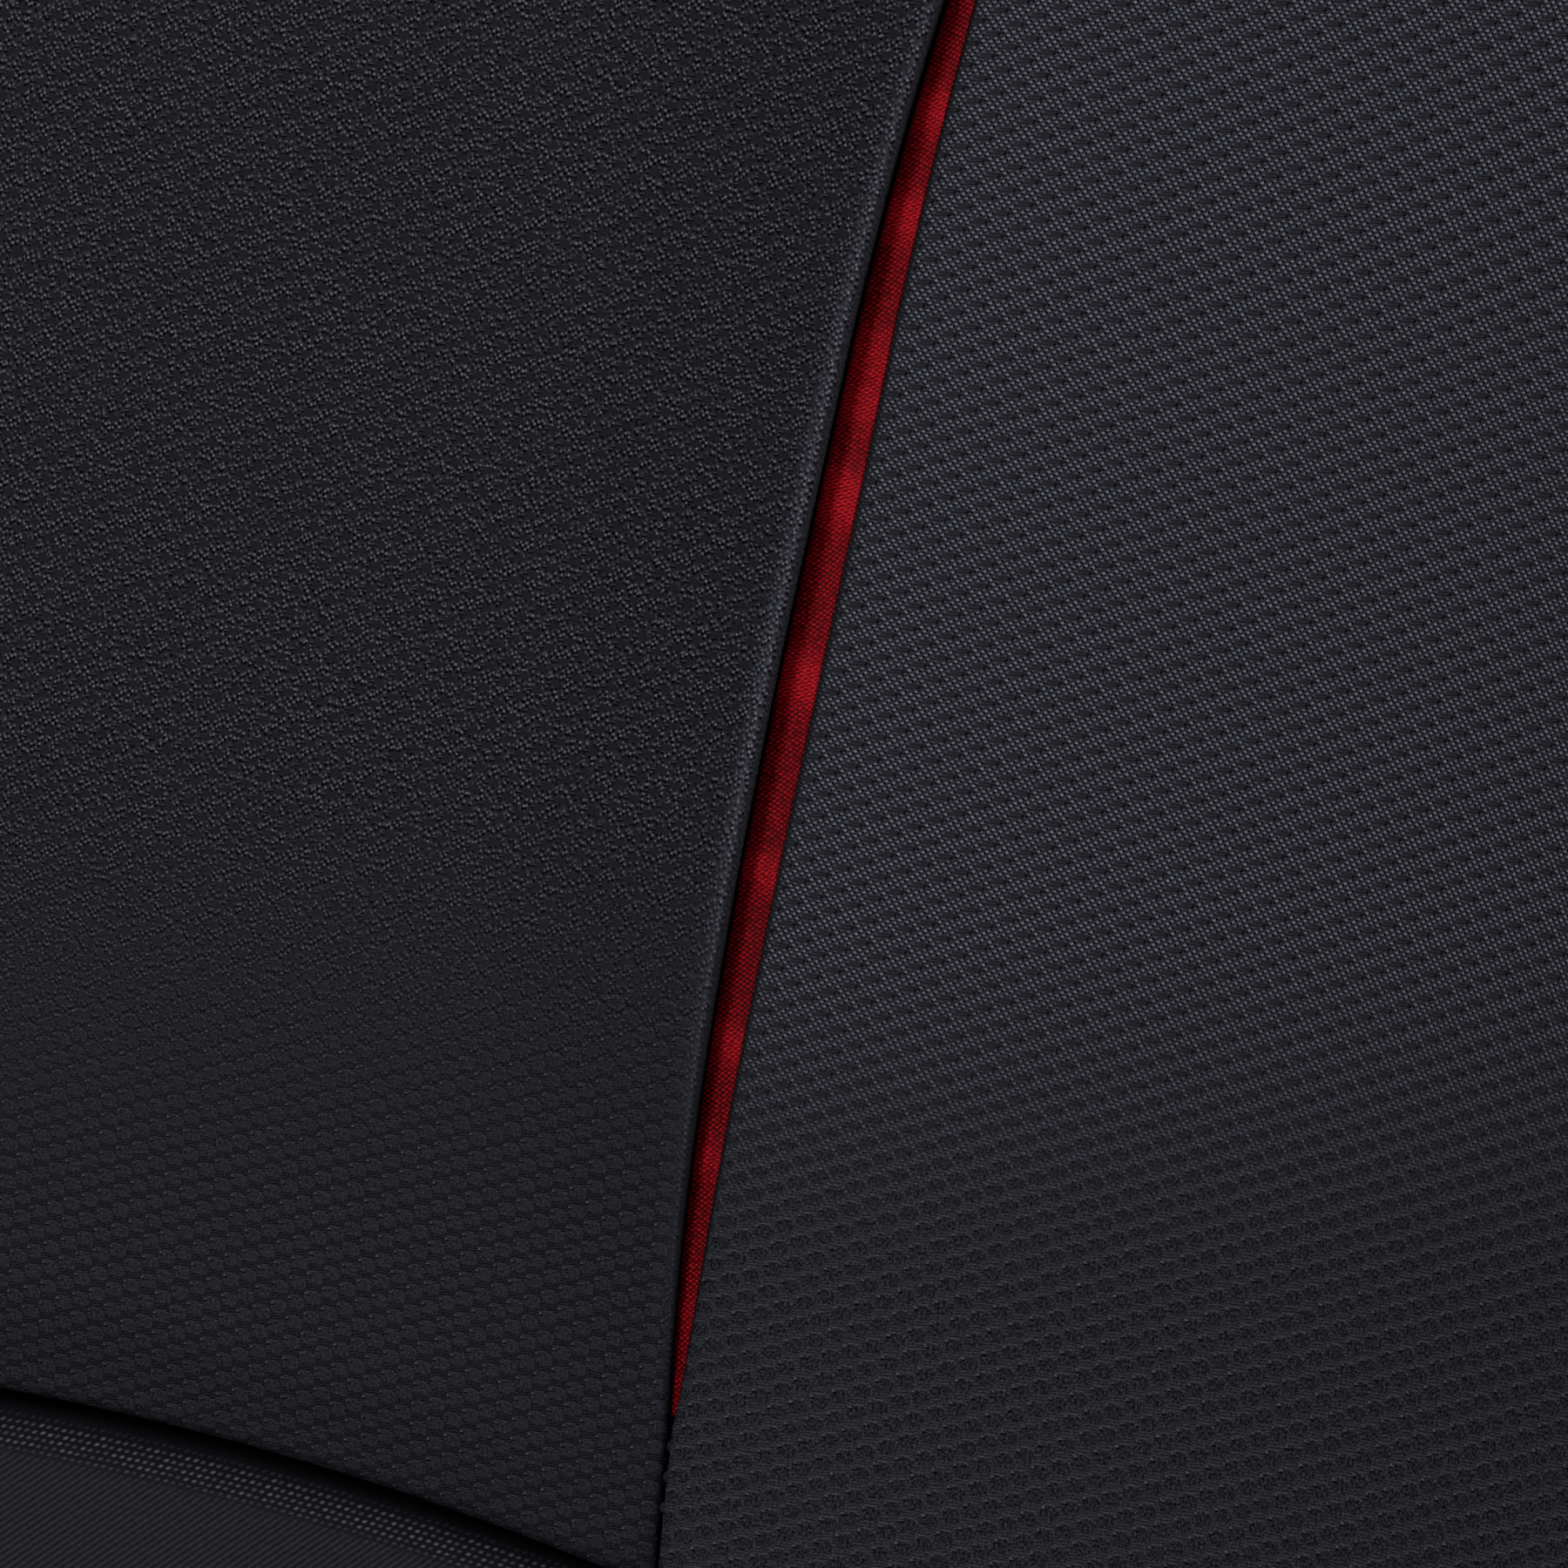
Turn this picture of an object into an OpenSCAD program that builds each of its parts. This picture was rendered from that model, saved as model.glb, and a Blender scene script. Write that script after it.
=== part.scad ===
// Fixed-back bucket seat with padded covers, side brackets and a ball-bearing slider.
// Millimetres. X runs across, the sitter faces -Y, +Z is up.
// The origin is the centre of the floor bolt pattern, on the floor.

/* [Shell profile] */
// Thickness of the shell wall
wall = 3.5; // [2.5:0.5:5]
// Height of the lowest point of the seating surface above the floor
seat_height = 87; // [80:1:110]
// Distance of the front lip from the floor pattern's centre
front_reach = 265; // [250:5:280]
// Length of the rolled front lip
lip_len = 60; // [45:5:75]
// Length of the straight seat pan
pan_len = 225; // [210:5:245]
// Radius of the hip curve between pan and back
hip_r = 170; // [160:2:180]
// Length of the straight lower back
lower_back_len = 150; // [130:5:170]
// Length of the curved mid back
mid_back_len = 120; // [100:5:140]
// Length of the straight upper back
upper_back_len = 300; // [280:5:330]
// Length of the neck bend
neck_len = 60; // [45:5:75]
// Length of the head section
head_len = 110; // [95:5:130]
// Rise of the front lip at its edge, from the floor
lip_angle = 35; // [20:1:45]
// Downward slope of the pan towards the hips
pan_angle = 14; // [10:1:18]
// Angle of the lower back from the floor
lower_back_angle = 70; // [66:1:74]
// Angle of the upper back from the floor
upper_back_angle = 77; // [74:1:80]
// Angle of the head section from the floor
head_angle = 84; // [80:1:88]

/* [Shell sections] */
// Half width between the hip walls
hip_half = 220; // [212:1:224]
// Corner radius between pan and hip wall
hip_corner_r = 50; // [45:1:55]
// Height of the straight hip wall
hip_wing = 54; // [50:1:60]
// Half width of the flat at the front edge
lip_flat = 128; // [110:1:140]
// Half width of the flat at the waist
waist_flat = 110; // [100:1:120]
// Half width of the flat in the mid back
mid_flat = 130; // [122:1:136]
// Half width of the flat at the shoulders
shoulder_flat = 164; // [154:1:170]
// Radius of the curved side between back and bolster wing
side_r = 120; // [110:2:130]
// Width of the bolster wing at the shoulders
shoulder_wing = 56; // [48:1:62]
// Half width of the flat in the neck
neck_flat = 98; // [92:1:106]
// Half width of the flat at the top edge
crown_flat = 52; // [40:1:64]
// Radius of the rolled rim
rim_r = 12; // [10:1:14]
// Outward roll of the rim
rim_turn = 60; // [45:5:75]

/* [Harness slots] */
// Width of a shoulder slot
shoulder_slot_w = 78; // [66:2:82]
// Height of a shoulder slot
shoulder_slot_h = 42; // [34:2:46]
// Distance of a shoulder slot's middle from the seat's middle
shoulder_slot_x = 91; // [86:1:94]
// Length of a lap slot
lap_slot_w = 90; // [70:2:94]
// Height of a lap slot
lap_slot_h = 28; // [22:1:30]
// Width of the crotch slot
crotch_slot_w = 70; // [56:2:80]
// Depth of the crotch slot
crotch_slot_h = 20; // [16:1:22]
// Width of a bezel's flange round its slot
bezel_flange = 6; // [4:0.5:7]
// Thickness of a bezel's flange
bezel_t = 2.2; // [1.6:0.2:3]

/* [Pads] */
// Thickness of the covers
cover_t = 1.5; // [1:0.1:2]
// Clearance between foam and cover
cover_gap = 0.35; // [0.3:0.05:0.5]
// Clearance between a glued pad and the shell
glue_gap = 0.5; // [0.4:0.1:0.8]
// Thickness of the hook-and-loop patches
patch_t = 2; // [1.5:0.1:2.5]
// Clearance between a removable pad and its patches
patch_gap = 0.3; // [0.2:0.1:0.5]
// Thickness of the back's centre panel
back_pad_t = 26; // [22:1:30]
// Thickness of the back's side bolsters
bolster_t = 28; // [24:1:32]
// Thickness of the lumbar pad
lumbar_t = 30; // [26:1:34]
// Thickness of the head pad
head_pad_t = 24; // [20:1:28]
// Thickness of the seat cushion
seat_pad_t = 40; // [34:1:44]
// Thickness of the knee pad
knee_pad_t = 34; // [28:1:38]
// Thickness of the thigh bolsters
thigh_pad_t = 26; // [22:1:30]
// Radius of the lumbar pad's arched top edge
lumbar_arch_r = 300; // [260:10:340]
// Gap between two pads along a sewn seam
seam_gap = 0.8; // [0.7:0.1:1.2]
// Gap between two pads that are not sewn together
pad_gap = 2.5; // [2:0.5:5]
// Width that the red insert's reveal adds to the seam
reveal_w = 3.9; // [2.5:0.1:5]
// Length of the red insert's reveal
reveal_len = 165; // [140:5:190]
// Thickness of the red insert
insert_t = 1; // [0.6:0.1:1.4]
// Depth of the red insert below the pads' edges
insert_depth = 3; // [2:0.5:5]

/* [Side mounts] */
// Distance between the two bolts of one side, along the seat
side_bolt_pitch = 290; // [270:2:300]
// Height of the side bolts above the lowest seating point
side_bolt_rise = 113; // [110:1:116]
// Radius of the boss on the shell around a side bolt
boss_r = 22; // [16:1:23]
// Distance that a boss stands out from the shell's wall
boss_h = 8.5; // [7.5:0.5:12]
// Nominal diameter of all bolts
bolt_d = 8; // [6:1:8]
// Diameter of the clearance holes for the bolts
bolt_hole_d = 8.5; // [8.4:0.1:9]
// Thickness of the bracket plate
bracket_t = 3; // [2:0.5:5]
// Half length of the bracket's foot
foot_half = 165; // [155:5:180]
// Distance between the two foot bolts of one side
foot_bolt_pitch = 260; // [240:5:280]

/* [Slider] */
// Distance between the two rails, middle to middle
rail_pitch = 410; // [390:2:416]
// Length of the rails
rail_len = 410; // [400:5:440]
// Distance between the floor bolts along a rail
floor_bolt_pitch = 340; // [320:5:360]
// Travel of the seat each way from the middle
travel = 100; // [60:5:110]
// Width of the lower rail
rail_w = 50; // [48:1:54]
// Height of the lower rail
rail_h = 20; // [20:0.5:22]
// Thickness of the rails' sheet metal
rail_t = 2.5; // [2:0.1:2.6]
// Width of the lower rail's opening
rail_mouth = 23; // [22:0.5:26]
// Diameter of the balls
ball_d = 8; // [7.6:0.1:8.2]
// Number of balls in a row
balls_per_row = 4; // [3:1:5]
// Distance between the balls of a row
ball_pitch = 52; // [40:1:60]
// Running clearance of the balls
ball_clearance = 0.05; // [0.02:0.01:0.1]
// Clearance between sliding faces
slide_clearance = 0.3; // [0.2:0.05:0.5]
// Width of the lock strip along the lower rail
lock_strip_w = 12; // [11:0.5:14]
// Distance between the notches of the lock strip
notch_pitch = 12; // [11:0.5:16]

/* [Release bar] */
// Diameter of the release bar
bar_d = 14; // [10:1:16]
// Diameter of the pivot pins
pivot_d = 8; // [6:0.5:10]
// Radial clearance of the pivot pins
pivot_clearance = 0.05; // [0.02:0.01:0.1]
// Height of the pivot above the floor
pivot_z = 38; // [38:0.5:44]
// Thickness of the latch levers
lever_t = 4; // [3:0.5:5]
// Reach of the release bar forward of its pivot
bar_reach = 222; // [200:2:240]
// Height of the release bar above the floor
bar_z = 50; // [46:1:56]
// Outer diameter of the grip
grip_d = 22; // [20:1:28]
// Length of the grip
grip_len = 180; // [120:10:240]
// Wire diameter of the latch springs
spring_wire_d = 1.8; // [1.4:0.1:2.2]
// Number of turns of the latch springs
spring_turns = 4; // [3:1:6]
// Pitch of the latch springs' turns
spring_pitch = 2.8; // [2.7:0.1:3.2]

/* [Hidden] */
$fn = 48;

// ---- spine: the shell's inner centre line, seen from the side ----

hip_len = hip_r * (lower_back_angle + pan_angle) * PI / 180;

// One row per stretch: length, heading at its start and its end, number of steps
SPINE = [
    [lip_len, lip_angle, -pan_angle, 3],
    [pan_len, -pan_angle, -pan_angle, 5],
    [hip_len, -pan_angle, lower_back_angle, 8],
    [lower_back_len, lower_back_angle, lower_back_angle, 3],
    [mid_back_len, lower_back_angle, upper_back_angle, 4],
    [upper_back_len, upper_back_angle, upper_back_angle, 6],
    [neck_len, upper_back_angle, head_angle, 2],
    [head_len, head_angle, head_angle, 3]
];

// Length of the first n stretches
function run_to(n) = n == 0 ? 0 : run_to(n - 1) + SPINE[n - 1][0];

U_LIP = run_to(1);
U_PAN = run_to(2);
U_HIP = run_to(3);
U_LOWER = run_to(4);
U_MID = run_to(5);
U_UPPER = run_to(6);
U_NECK = run_to(7);
U_TOP = run_to(8);

// Way covered after distance d of a stretch, as [0, y, z]
function way(stretch, d) =
    let (turn = stretch[2] - stretch[1], h = stretch[1] + turn * d / stretch[0])
    turn == 0
        ? d * [0, cos(h), sin(h)]
        : let (r = stretch[0] * 180 / PI / turn)
          r * [0, sin(h) - sin(stretch[1]), cos(stretch[1]) - cos(h)];

function way_to(n) = n == 0 ? [0, 0, 0] : way_to(n - 1) + way(SPINE[n - 1], SPINE[n - 1][0]);

// The hip curve bottoms out where its heading is level
low_point_z = way_to(2)[2] - hip_r * (1 - cos(pan_angle));
FRONT = [0, -front_reach, seat_height - low_point_z];
STARTS = [for (n = [0:len(SPINE) - 1]) FRONT + way_to(n)];

function stretch_at(u, n = 0) =
    n == len(SPINE) - 1 || u <= run_to(n + 1) ? n : stretch_at(u, n + 1);

function spine(u) = let (n = stretch_at(u)) STARTS[n] + way(SPINE[n], u - run_to(n));

function heading(u) =
    let (n = stretch_at(u), s = SPINE[n])
    s[1] + (s[2] - s[1]) * (u - run_to(n)) / s[0];

hip_centre = STARTS[2] + hip_r * [0, sin(pan_angle), cos(pan_angle)];

// ---- cross-sections: flat, curved side, straight wing, rolled rim ----

// Drop of the shoulder slots below the upper back's end, and length of the head's bend
shoulder_drop = 74;
head_bend = 44;
shoulder_u = U_UPPER - shoulder_drop;

// Place along the spine, half width of flat, side radius, side turn, wing width
STATIONS = [
    [0, lip_flat, 40, 28, 6],
    [U_LIP, hip_half - 60, 60, 70, 30],
    [U_LIP + 60, hip_half - hip_corner_r, hip_corner_r, 90, hip_wing - 6],
    [U_PAN, hip_half - hip_corner_r, hip_corner_r, 90, hip_wing],
    [U_HIP, hip_half - hip_corner_r, hip_corner_r, 90, hip_wing],
    [U_HIP + 70, waist_flat + 20, side_r - 25, 72, 46],
    [U_LOWER - 20, waist_flat, side_r + 10, 58, 45],
    [U_MID, mid_flat, side_r + 10, 56, shoulder_wing - 6],
    [U_MID + 150, shoulder_flat, side_r - 10, 58, shoulder_wing],
    [shoulder_u, shoulder_flat - 10, side_r - 40, 56, shoulder_wing - 6],
    [U_UPPER, neck_flat + 27, side_r - 60, 48, 34],
    [U_NECK, neck_flat, 52, 46, 28],
    [U_TOP - head_bend, neck_flat - 10, 48, 44, 26],
    [U_TOP, crown_flat, 44, 30, 8]
];

function station_span(u, k = 0) =
    k == len(STATIONS) - 2 || u <= STATIONS[k + 1][0] ? k : station_span(u, k + 1);

function rate(k) = (STATIONS[k + 1] - STATIONS[k]) / (STATIONS[k + 1][0] - STATIONS[k][0]);

// Slope of each value at station k: none at a turning point, so nothing overshoots
function station_slope(k) =
    let (a = rate(max(k - 1, 0)), b = rate(min(k, len(STATIONS) - 2)))
    [for (c = [0:len(a) - 1]) a[c] * b[c] <= 0 ? 0 : min(abs(a[c] + b[c]) / 2,
        3 * min(abs(a[c]), abs(b[c]))) * sign(a[c])];

// Smooth section values between the stations
function station(u) =
    let (k = station_span(u), a = STATIONS[k], b = STATIONS[k + 1])
    let (l = b[0] - a[0], t = (u - a[0]) / l)
    (2 * t ^ 3 - 3 * t ^ 2 + 1) * a + (t ^ 3 - 2 * t ^ 2 + t) * l * station_slope(k)
    + (3 * t ^ 2 - 2 * t ^ 3) * b + (t ^ 3 - t ^ 2) * l * station_slope(k + 1);

// Steps of a half section: flat, curve, wing, rim
NF = 4;
NA = 6;
NW = 3;
NR = 2;
NS = NF + NA + NW + NR;

// Point j of a half section, as [distance from the middle, height over the spine]
function section_point(st, j) =
    let (a = st[1], r = st[2], f = st[3], b = st[4])
    j <= NF ? [a * j / NF, 0]
    : j <= NF + NA
        ? let (t = f * (j - NF) / NA) [a + r * sin(t), r * (1 - cos(t))]
    : let (k = min((j - NF - NA) / NW, 1), e = rim_turn * max(j - NF - NA - NW, 0) / NR)
      [a + r * sin(f) + b * k * cos(f) + rim_r * (sin(f) - sin(f - e)),
       r * (1 - cos(f)) + b * k * sin(f) + rim_r * (cos(f - e) - cos(f))];

KNOTS = [0, for (n = [0:len(SPINE) - 1]) for (k = [1:SPINE[n][3]])
    run_to(n) + SPINE[n][0] * k / SPINE[n][3]];
NU = len(KNOTS) - 1;

function unit(v) = v / norm(v);

// Inner surface of the shell, with one row of points for each knot
GRID = [for (u = KNOTS)
    let (st = station(u), p = spine(u), h = heading(u))
    [for (j = [-NS:NS])
        let (q = section_point(st, abs(j)))
        p + [sign(j) * q[0], -q[1] * sin(h), q[1] * cos(h)]]];

// Normals of that surface, towards the sitter
NORMALS = [for (i = [0:NU]) [for (j = [0:2 * NS])
    unit(cross(GRID[i][min(j + 1, 2 * NS)] - GRID[i][max(j - 1, 0)],
               GRID[min(i + 1, NU)][j] - GRID[max(i - 1, 0)][j]))]];

KNOT_INDEX = [for (i = [0:NU]) [KNOTS[i], i]];

// Value of a grid between its points
function between(grid, i, j) =
    let (a = min(floor(i), NU - 1), b = min(floor(j), 2 * NS - 1), s = i - a, t = j - b)
    (1 - s) * ((1 - t) * grid[a][b] + t * grid[a][b + 1])
    + s * ((1 - t) * grid[a + 1][b] + t * grid[a + 1][b + 1]);

KNOT_STATIONS = [for (u = KNOTS) station(u)];

// Section values on the faceted surface, straight from knot to knot
function local(u) =
    let (i = lookup(u, KNOT_INDEX), k = min(floor(i), NU - 1))
    (1 - i + k) * KNOT_STATIONS[k] + (i - k) * KNOT_STATIONS[k + 1];

function side_len(st) = st[2] * st[3] * PI / 180;

// Grid column at distance w from the middle, measured along the section
function column(st, w) =
    let (x = abs(w), a = st[1], l = side_len(st))
    NS + sign(w) * (
        x <= a ? NF * x / a
        : x <= a + l ? NF + NA * (x - a) / l
        : NF + NA + NW * (x - a - l) / st[4]);

// Point at u along and w across the shell, h above its inner surface
function above_shell(u, w, h) =
    let (i = lookup(u, KNOT_INDEX), j = column(local(u), w))
    between(GRID, i, j) + h * unit(between(NORMALS, i, j));

// ---- skins from grids of points ----

function rows_of(grid) = len(grid);
function columns_of(grid) = len(grid[0]);
function flat_list(grid) = [for (row = grid) for (p = row) p];

// Two triangles for each cell, seen from the side that the normals point to.
// The diagonals change sides at column fold, so that a symmetric grid stays symmetric.
function grid_faces(rows, cols, base, fold, up) =
    [for (i = [0:rows - 2]) for (j = [0:cols - 2]) for (half = [0, 1])
        let (a = base + i * cols + j, b = a + 1, c = a + cols + 1, d = a + cols)
        let (face = j >= fold
            ? (half == 0 ? [a, d, c] : [a, c, b])
            : (half == 0 ? [a, d, b] : [b, d, c]))
        up ? face : [face[2], face[1], face[0]]];

// Positions of the edge points in a grid, once round
function edge_loop(rows, cols) = [
    each [for (j = [0:cols - 2]) j],
    each [for (i = [0:rows - 2]) i * cols + cols - 1],
    each [for (j = [cols - 1:-1:1]) (rows - 1) * cols + j],
    each [for (i = [rows - 1:-1:1]) i * cols]
];

// Wall between two loops of points that run the same way
function loop_faces(top, bottom) =
    [for (k = [0:len(top) - 1]) for (half = [0, 1])
        let (n = (k + 1) % len(top))
        half == 0 ? [top[k], top[n], bottom[n]] : [top[k], bottom[n], bottom[k]]];

function shifted(list, by) = [for (v = list) v + by];

// Closed solid between two grids of the same size
module slab(top, bottom, fold = 0) {
    rows = rows_of(top);
    cols = columns_of(top);
    loop = edge_loop(rows, cols);
    polyhedron(
        points = concat(flat_list(top), flat_list(bottom)),
        faces = concat(
            grid_faces(rows, cols, 0, fold, true),
            grid_faces(rows, cols, rows * cols, fold, false),
            loop_faces(loop, shifted(loop, rows * cols))));
}

// Thin skin over a pad: top and sides, open at the back
module open_skin(outer, inner, outer_hem, inner_hem, fold) {
    rows = rows_of(outer);
    cols = columns_of(outer);
    n = rows * cols;
    loop = edge_loop(rows, cols);
    hem = [for (k = [0:len(loop) - 1]) k];
    outer_hem_at = shifted(hem, 2 * n);
    inner_hem_at = shifted(hem, 2 * n + len(loop));
    polyhedron(
        points = concat(flat_list(outer), flat_list(inner),
            [for (k = loop) flat_list(outer_hem)[k]],
            [for (k = loop) flat_list(inner_hem)[k]]),
        faces = concat(
            grid_faces(rows, cols, 0, fold, true),
            grid_faces(rows, cols, n, fold, false),
            loop_faces(loop, outer_hem_at),
            loop_faces(inner_hem_at, shifted(loop, n)),
            loop_faces(outer_hem_at, inner_hem_at)));
}

// ---- pads ----

lift_glued = glue_gap;
lift_bolster = glue_gap + 0.4;
lift_patched = patch_t + patch_gap;
skin = cover_t + cover_gap;
foam_recess = 0.7;

// A pad's record: 0 start and 1 end along the spine, 2 and 3 its side limits there,
// 4 and 5 the shift of its start and end edge at w, 6 thickness, 7 lift off the shell,
// 8 height left at its four edges, 9 rounding of its two sides' corners, 10 rows,
// 11 true where it lies across the middle
EVEN_ROWS = [0, 0.05, 0.16, 0.33, 0.5, 0.67, 0.84, 0.95, 1];
EVEN_COLUMNS = [0, 0.06, 0.2, 0.5, 0.8, 0.94, 1];
corner_share = 0.2;

// Crown between two edges that keep the shares e0 and e1 of the height
function crown(t, e0, e1) =
    let (e = t < 0.5 ? e0 : e1) e + (1 - e) * (1 - abs(2 * t - 1) ^ 3) ^ 0.5;

function corner_pull(r, v) = r * max(0, 1 - min(v, 1 - v) / corner_share) ^ 2;

// Point of a pad that is drawn in by e: s across, v along, top or back
function pad_point(pad, s, v, e, top, recess) =
    let (u_row = pad[0] + e + v * (pad[1] - pad[0] - 2 * e))
    let (shift = function (w) pad[4](w) * (1 - v) + pad[5](w) * v)
    let (u_low = u_row + shift(pad[2](u_row)), u_high = u_row + shift(pad[3](u_row)))
    let (low = pad[2](u_low) + corner_pull(pad[9][0], v) + e)
    let (high = pad[3](u_high) - corner_pull(pad[9][1], v) - e)
    let (w = low + s * (high - low), u = u_row + shift(w))
    let (edge = pad[8], full = crown(s, edge[0], edge[1]) * crown(v, edge[2], edge[3]))
    above_shell(u, w, pad[7] + (top ? pad[6] * full - e : recess));

function pad_grid(pad, e, top, recess = 0) =
    [for (v = pad[10]) [for (s = EVEN_COLUMNS) pad_point(pad, s, v, e, top, recess)]];

function pad_fold(pad) = pad[11] ? (len(EVEN_COLUMNS) - 1) / 2 : 0;

module pad_foam(pad) {
    slab(pad_grid(pad, skin, true), pad_grid(pad, skin, false, foam_recess), pad_fold(pad));
}

module pad_cover(pad) {
    open_skin(pad_grid(pad, 0, true), pad_grid(pad, cover_t, true),
        pad_grid(pad, 0, false), pad_grid(pad, cover_t, false), pad_fold(pad));
}

// Drop of the lumbar pad's arched top at w from the middle
function arch_drop(w) =
    let (x = min(abs(w), lumbar_arch_r * 0.7)) lumbar_arch_r - sqrt(lumbar_arch_r ^ 2 - x ^ 2);

lumbar_rise = 19.5;
reveal_rise = 16;
back_pad_drop = 104;
bolster_dip = 64;
bolster_drop = 114;
lumbar_dip = 36;
lumbar_top = U_LOWER + lumbar_rise;
reveal_start = U_LOWER + reveal_rise;
back_pad_end = U_UPPER - back_pad_drop;
bolster_start = U_HIP - bolster_dip;
bolster_end = U_UPPER - bolster_drop;
lumbar_start = U_HIP - lumbar_dip;
lumbar_half = 112;
wing_margin = 5;

// Gap between centre panel and bolster: sewn, and open where the red insert shows
SEAM_WIDTHS = [for (u = KNOTS)
    let (t = min(max((u - reveal_start) / reveal_len, 0), 1))
    [u, seam_gap + reveal_w * (4 * t * (1 - t)) ^ 0.6]];

function seam_width(u) = lookup(u, SEAM_WIDTHS);
function seam_w(u) = local(u)[1];
function wing_end(u) = let (st = local(u)) st[1] + side_len(st) + st[4] - wing_margin;
function panel_edge(u) = seam_w(u) - seam_width(u) / 2;
// Beside the lumbar pad the bolster comes in over the flat of the hips
function bolster_edge(u) = min(seam_w(u) + seam_width(u) / 2, lumbar_half + pad_gap
    + max(0, u - U_LOWER));

// Rows of a pad that follow the shell's own rows, with two more near each end
near = 8;
far = 24;
apart = 6;
function knot_rows(u0, u1) =
    let (l = u1 - u0)
    concat([0, near / l, far / l],
        [for (u = KNOTS) if (u > u0 + far + apart && u < u1 - far - apart) (u - u0) / l],
        [1 - far / l, 1 - near / l, 1]);

back_pad_start = lumbar_top + pad_gap;
back_corner_u = back_pad_start - arch_drop(panel_edge(back_pad_start));
BACK_PAD = [
    back_pad_start, back_pad_end,
    function (u) -panel_edge(u), function (u) panel_edge(u),
    function (w) -arch_drop(w), function (w) 0,
    back_pad_t, lift_glued, [0.86, 0.86, 0.8, 0.45], [0, 0],
    knot_rows(back_corner_u, back_pad_end), true
];
bolster_corner = 36;
BOLSTER_PAD = [
    bolster_start, bolster_end,
    function (u) bolster_edge(u), function (u) wing_end(u),
    function (w) 0, function (w) 0,
    bolster_t, lift_bolster, [0.8, 0.4, 0.4, 0.4], [0, bolster_corner],
    knot_rows(bolster_start, bolster_end), false
];
lumbar_play = 1.2;
lumbar_side_play = 2;
function lumbar_side(u) = min(panel_edge(u) - lumbar_play, lumbar_half - lumbar_side_play);
LUMBAR_PAD = [
    lumbar_start, lumbar_top,
    function (u) -lumbar_side(u), function (u) lumbar_side(u),
    function (w) 0, function (w) -arch_drop(w),
    lumbar_t, lift_patched, [0.45, 0.45, 0.45, 0.6], [0, 0], EVEN_ROWS, true
];

head_pad_half = 92;
head_pad_lap = 28;
head_pad_margin = 20;
head_pad_start = U_UPPER - head_pad_lap;
head_pad_end = U_TOP - head_pad_margin;
head_pull = 6;
head_corner = 16;
HEAD_PAD = [
    head_pad_start, head_pad_end,
    function (u) -head_side(u), function (u) head_side(u),
    function (w) 0, function (w) 0,
    head_pad_t, lift_patched, [0.4, 0.4, 0.4, 0.4], [head_corner, head_corner], EVEN_ROWS, true
];
function head_side(u) =
    let (t = (u - head_pad_start) / (head_pad_end - head_pad_start))
    head_pad_half - head_pull * 4 * t * (1 - t);

// Seat cushion and knee pad leave room for the crotch slot between them
crotch_reach = 90;
crotch_play = 2;
seat_pad_drop = 104;
seat_corner = 18;
crotch_u = U_LIP + crotch_reach;
crotch_room = crotch_slot_h / 2 + bezel_flange + crotch_play;
seat_pad_start = crotch_u + crotch_room;
seat_pad_end = U_HIP - seat_pad_drop;
seat_pad_margin = 12;
seat_pull = 5;
function seat_side(u) =
    let (t = (u - seat_pad_start) / (seat_pad_end - seat_pad_start))
    hip_half - hip_corner_r - seat_pad_margin - seat_pull * 4 * t * (1 - t);
SEAT_PAD = [
    seat_pad_start, seat_pad_end,
    function (u) -seat_side(u), function (u) seat_side(u),
    function (w) 0, function (w) 0,
    seat_pad_t, lift_patched, [0.45, 0.45, 0.5, 0.4], [seat_corner, seat_corner], EVEN_ROWS, true
];

knee_pad_lap = 36;
knee_overhang = 24;
knee_corner = 22;
knee_pad_start = U_LIP - knee_pad_lap;
knee_pad_end = crotch_u - crotch_room;
knee_pull = 3;
function knee_side(u) =
    let (t = (u - knee_pad_start) / (knee_pad_end - knee_pad_start))
    lip_flat + knee_overhang - knee_pull * 4 * t * (1 - t);
KNEE_PAD = [
    knee_pad_start, knee_pad_end,
    function (u) -knee_side(u), function (u) knee_side(u),
    function (w) 0, function (w) 0,
    knee_pad_t, lift_patched, [0.45, 0.45, 0.4, 0.45], [knee_corner, seat_corner], EVEN_ROWS, true
];

thigh_pad_rise = 42;
thigh_pad_drop = 38;
thigh_inset = 10;
thigh_corner = 8;
thigh_wing_corner = 26;
thigh_pad_start = U_LIP + thigh_pad_rise;
thigh_pad_end = U_PAN - thigh_pad_drop;
THIGH_PAD = [
    thigh_pad_start, thigh_pad_end,
    function (u) local(u)[1] + thigh_inset, function (u) wing_end(u),
    function (w) 0, function (w) 0,
    thigh_pad_t, lift_glued, [0.45, 0.4, 0.4, 0.4], [thigh_corner, thigh_wing_corner], EVEN_ROWS, false
];

// ---- shared shapes ----

module at_spine(u) {
    translate(spine(u)) rotate([heading(u), 0, 0]) children();
}

module both_sides() {
    children();
    mirror([1, 0, 0]) children();
}

// Rectangle with round corners, kept exact
module round_rect(w, h, r) {
    square([w - 2 * r, h], center = true);
    square([w, h - 2 * r], center = true);
    for (x = [-1, 1], y = [-1, 1])
        translate([x * (w / 2 - r), y * (h / 2 - r)]) circle(r = r);
}

bezel_fit = 0.25;
bezel_out = 2;
bezel_collar = wall + bezel_out;
bezel_collar_t = 2;
bezel_seat = 0.1;

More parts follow.
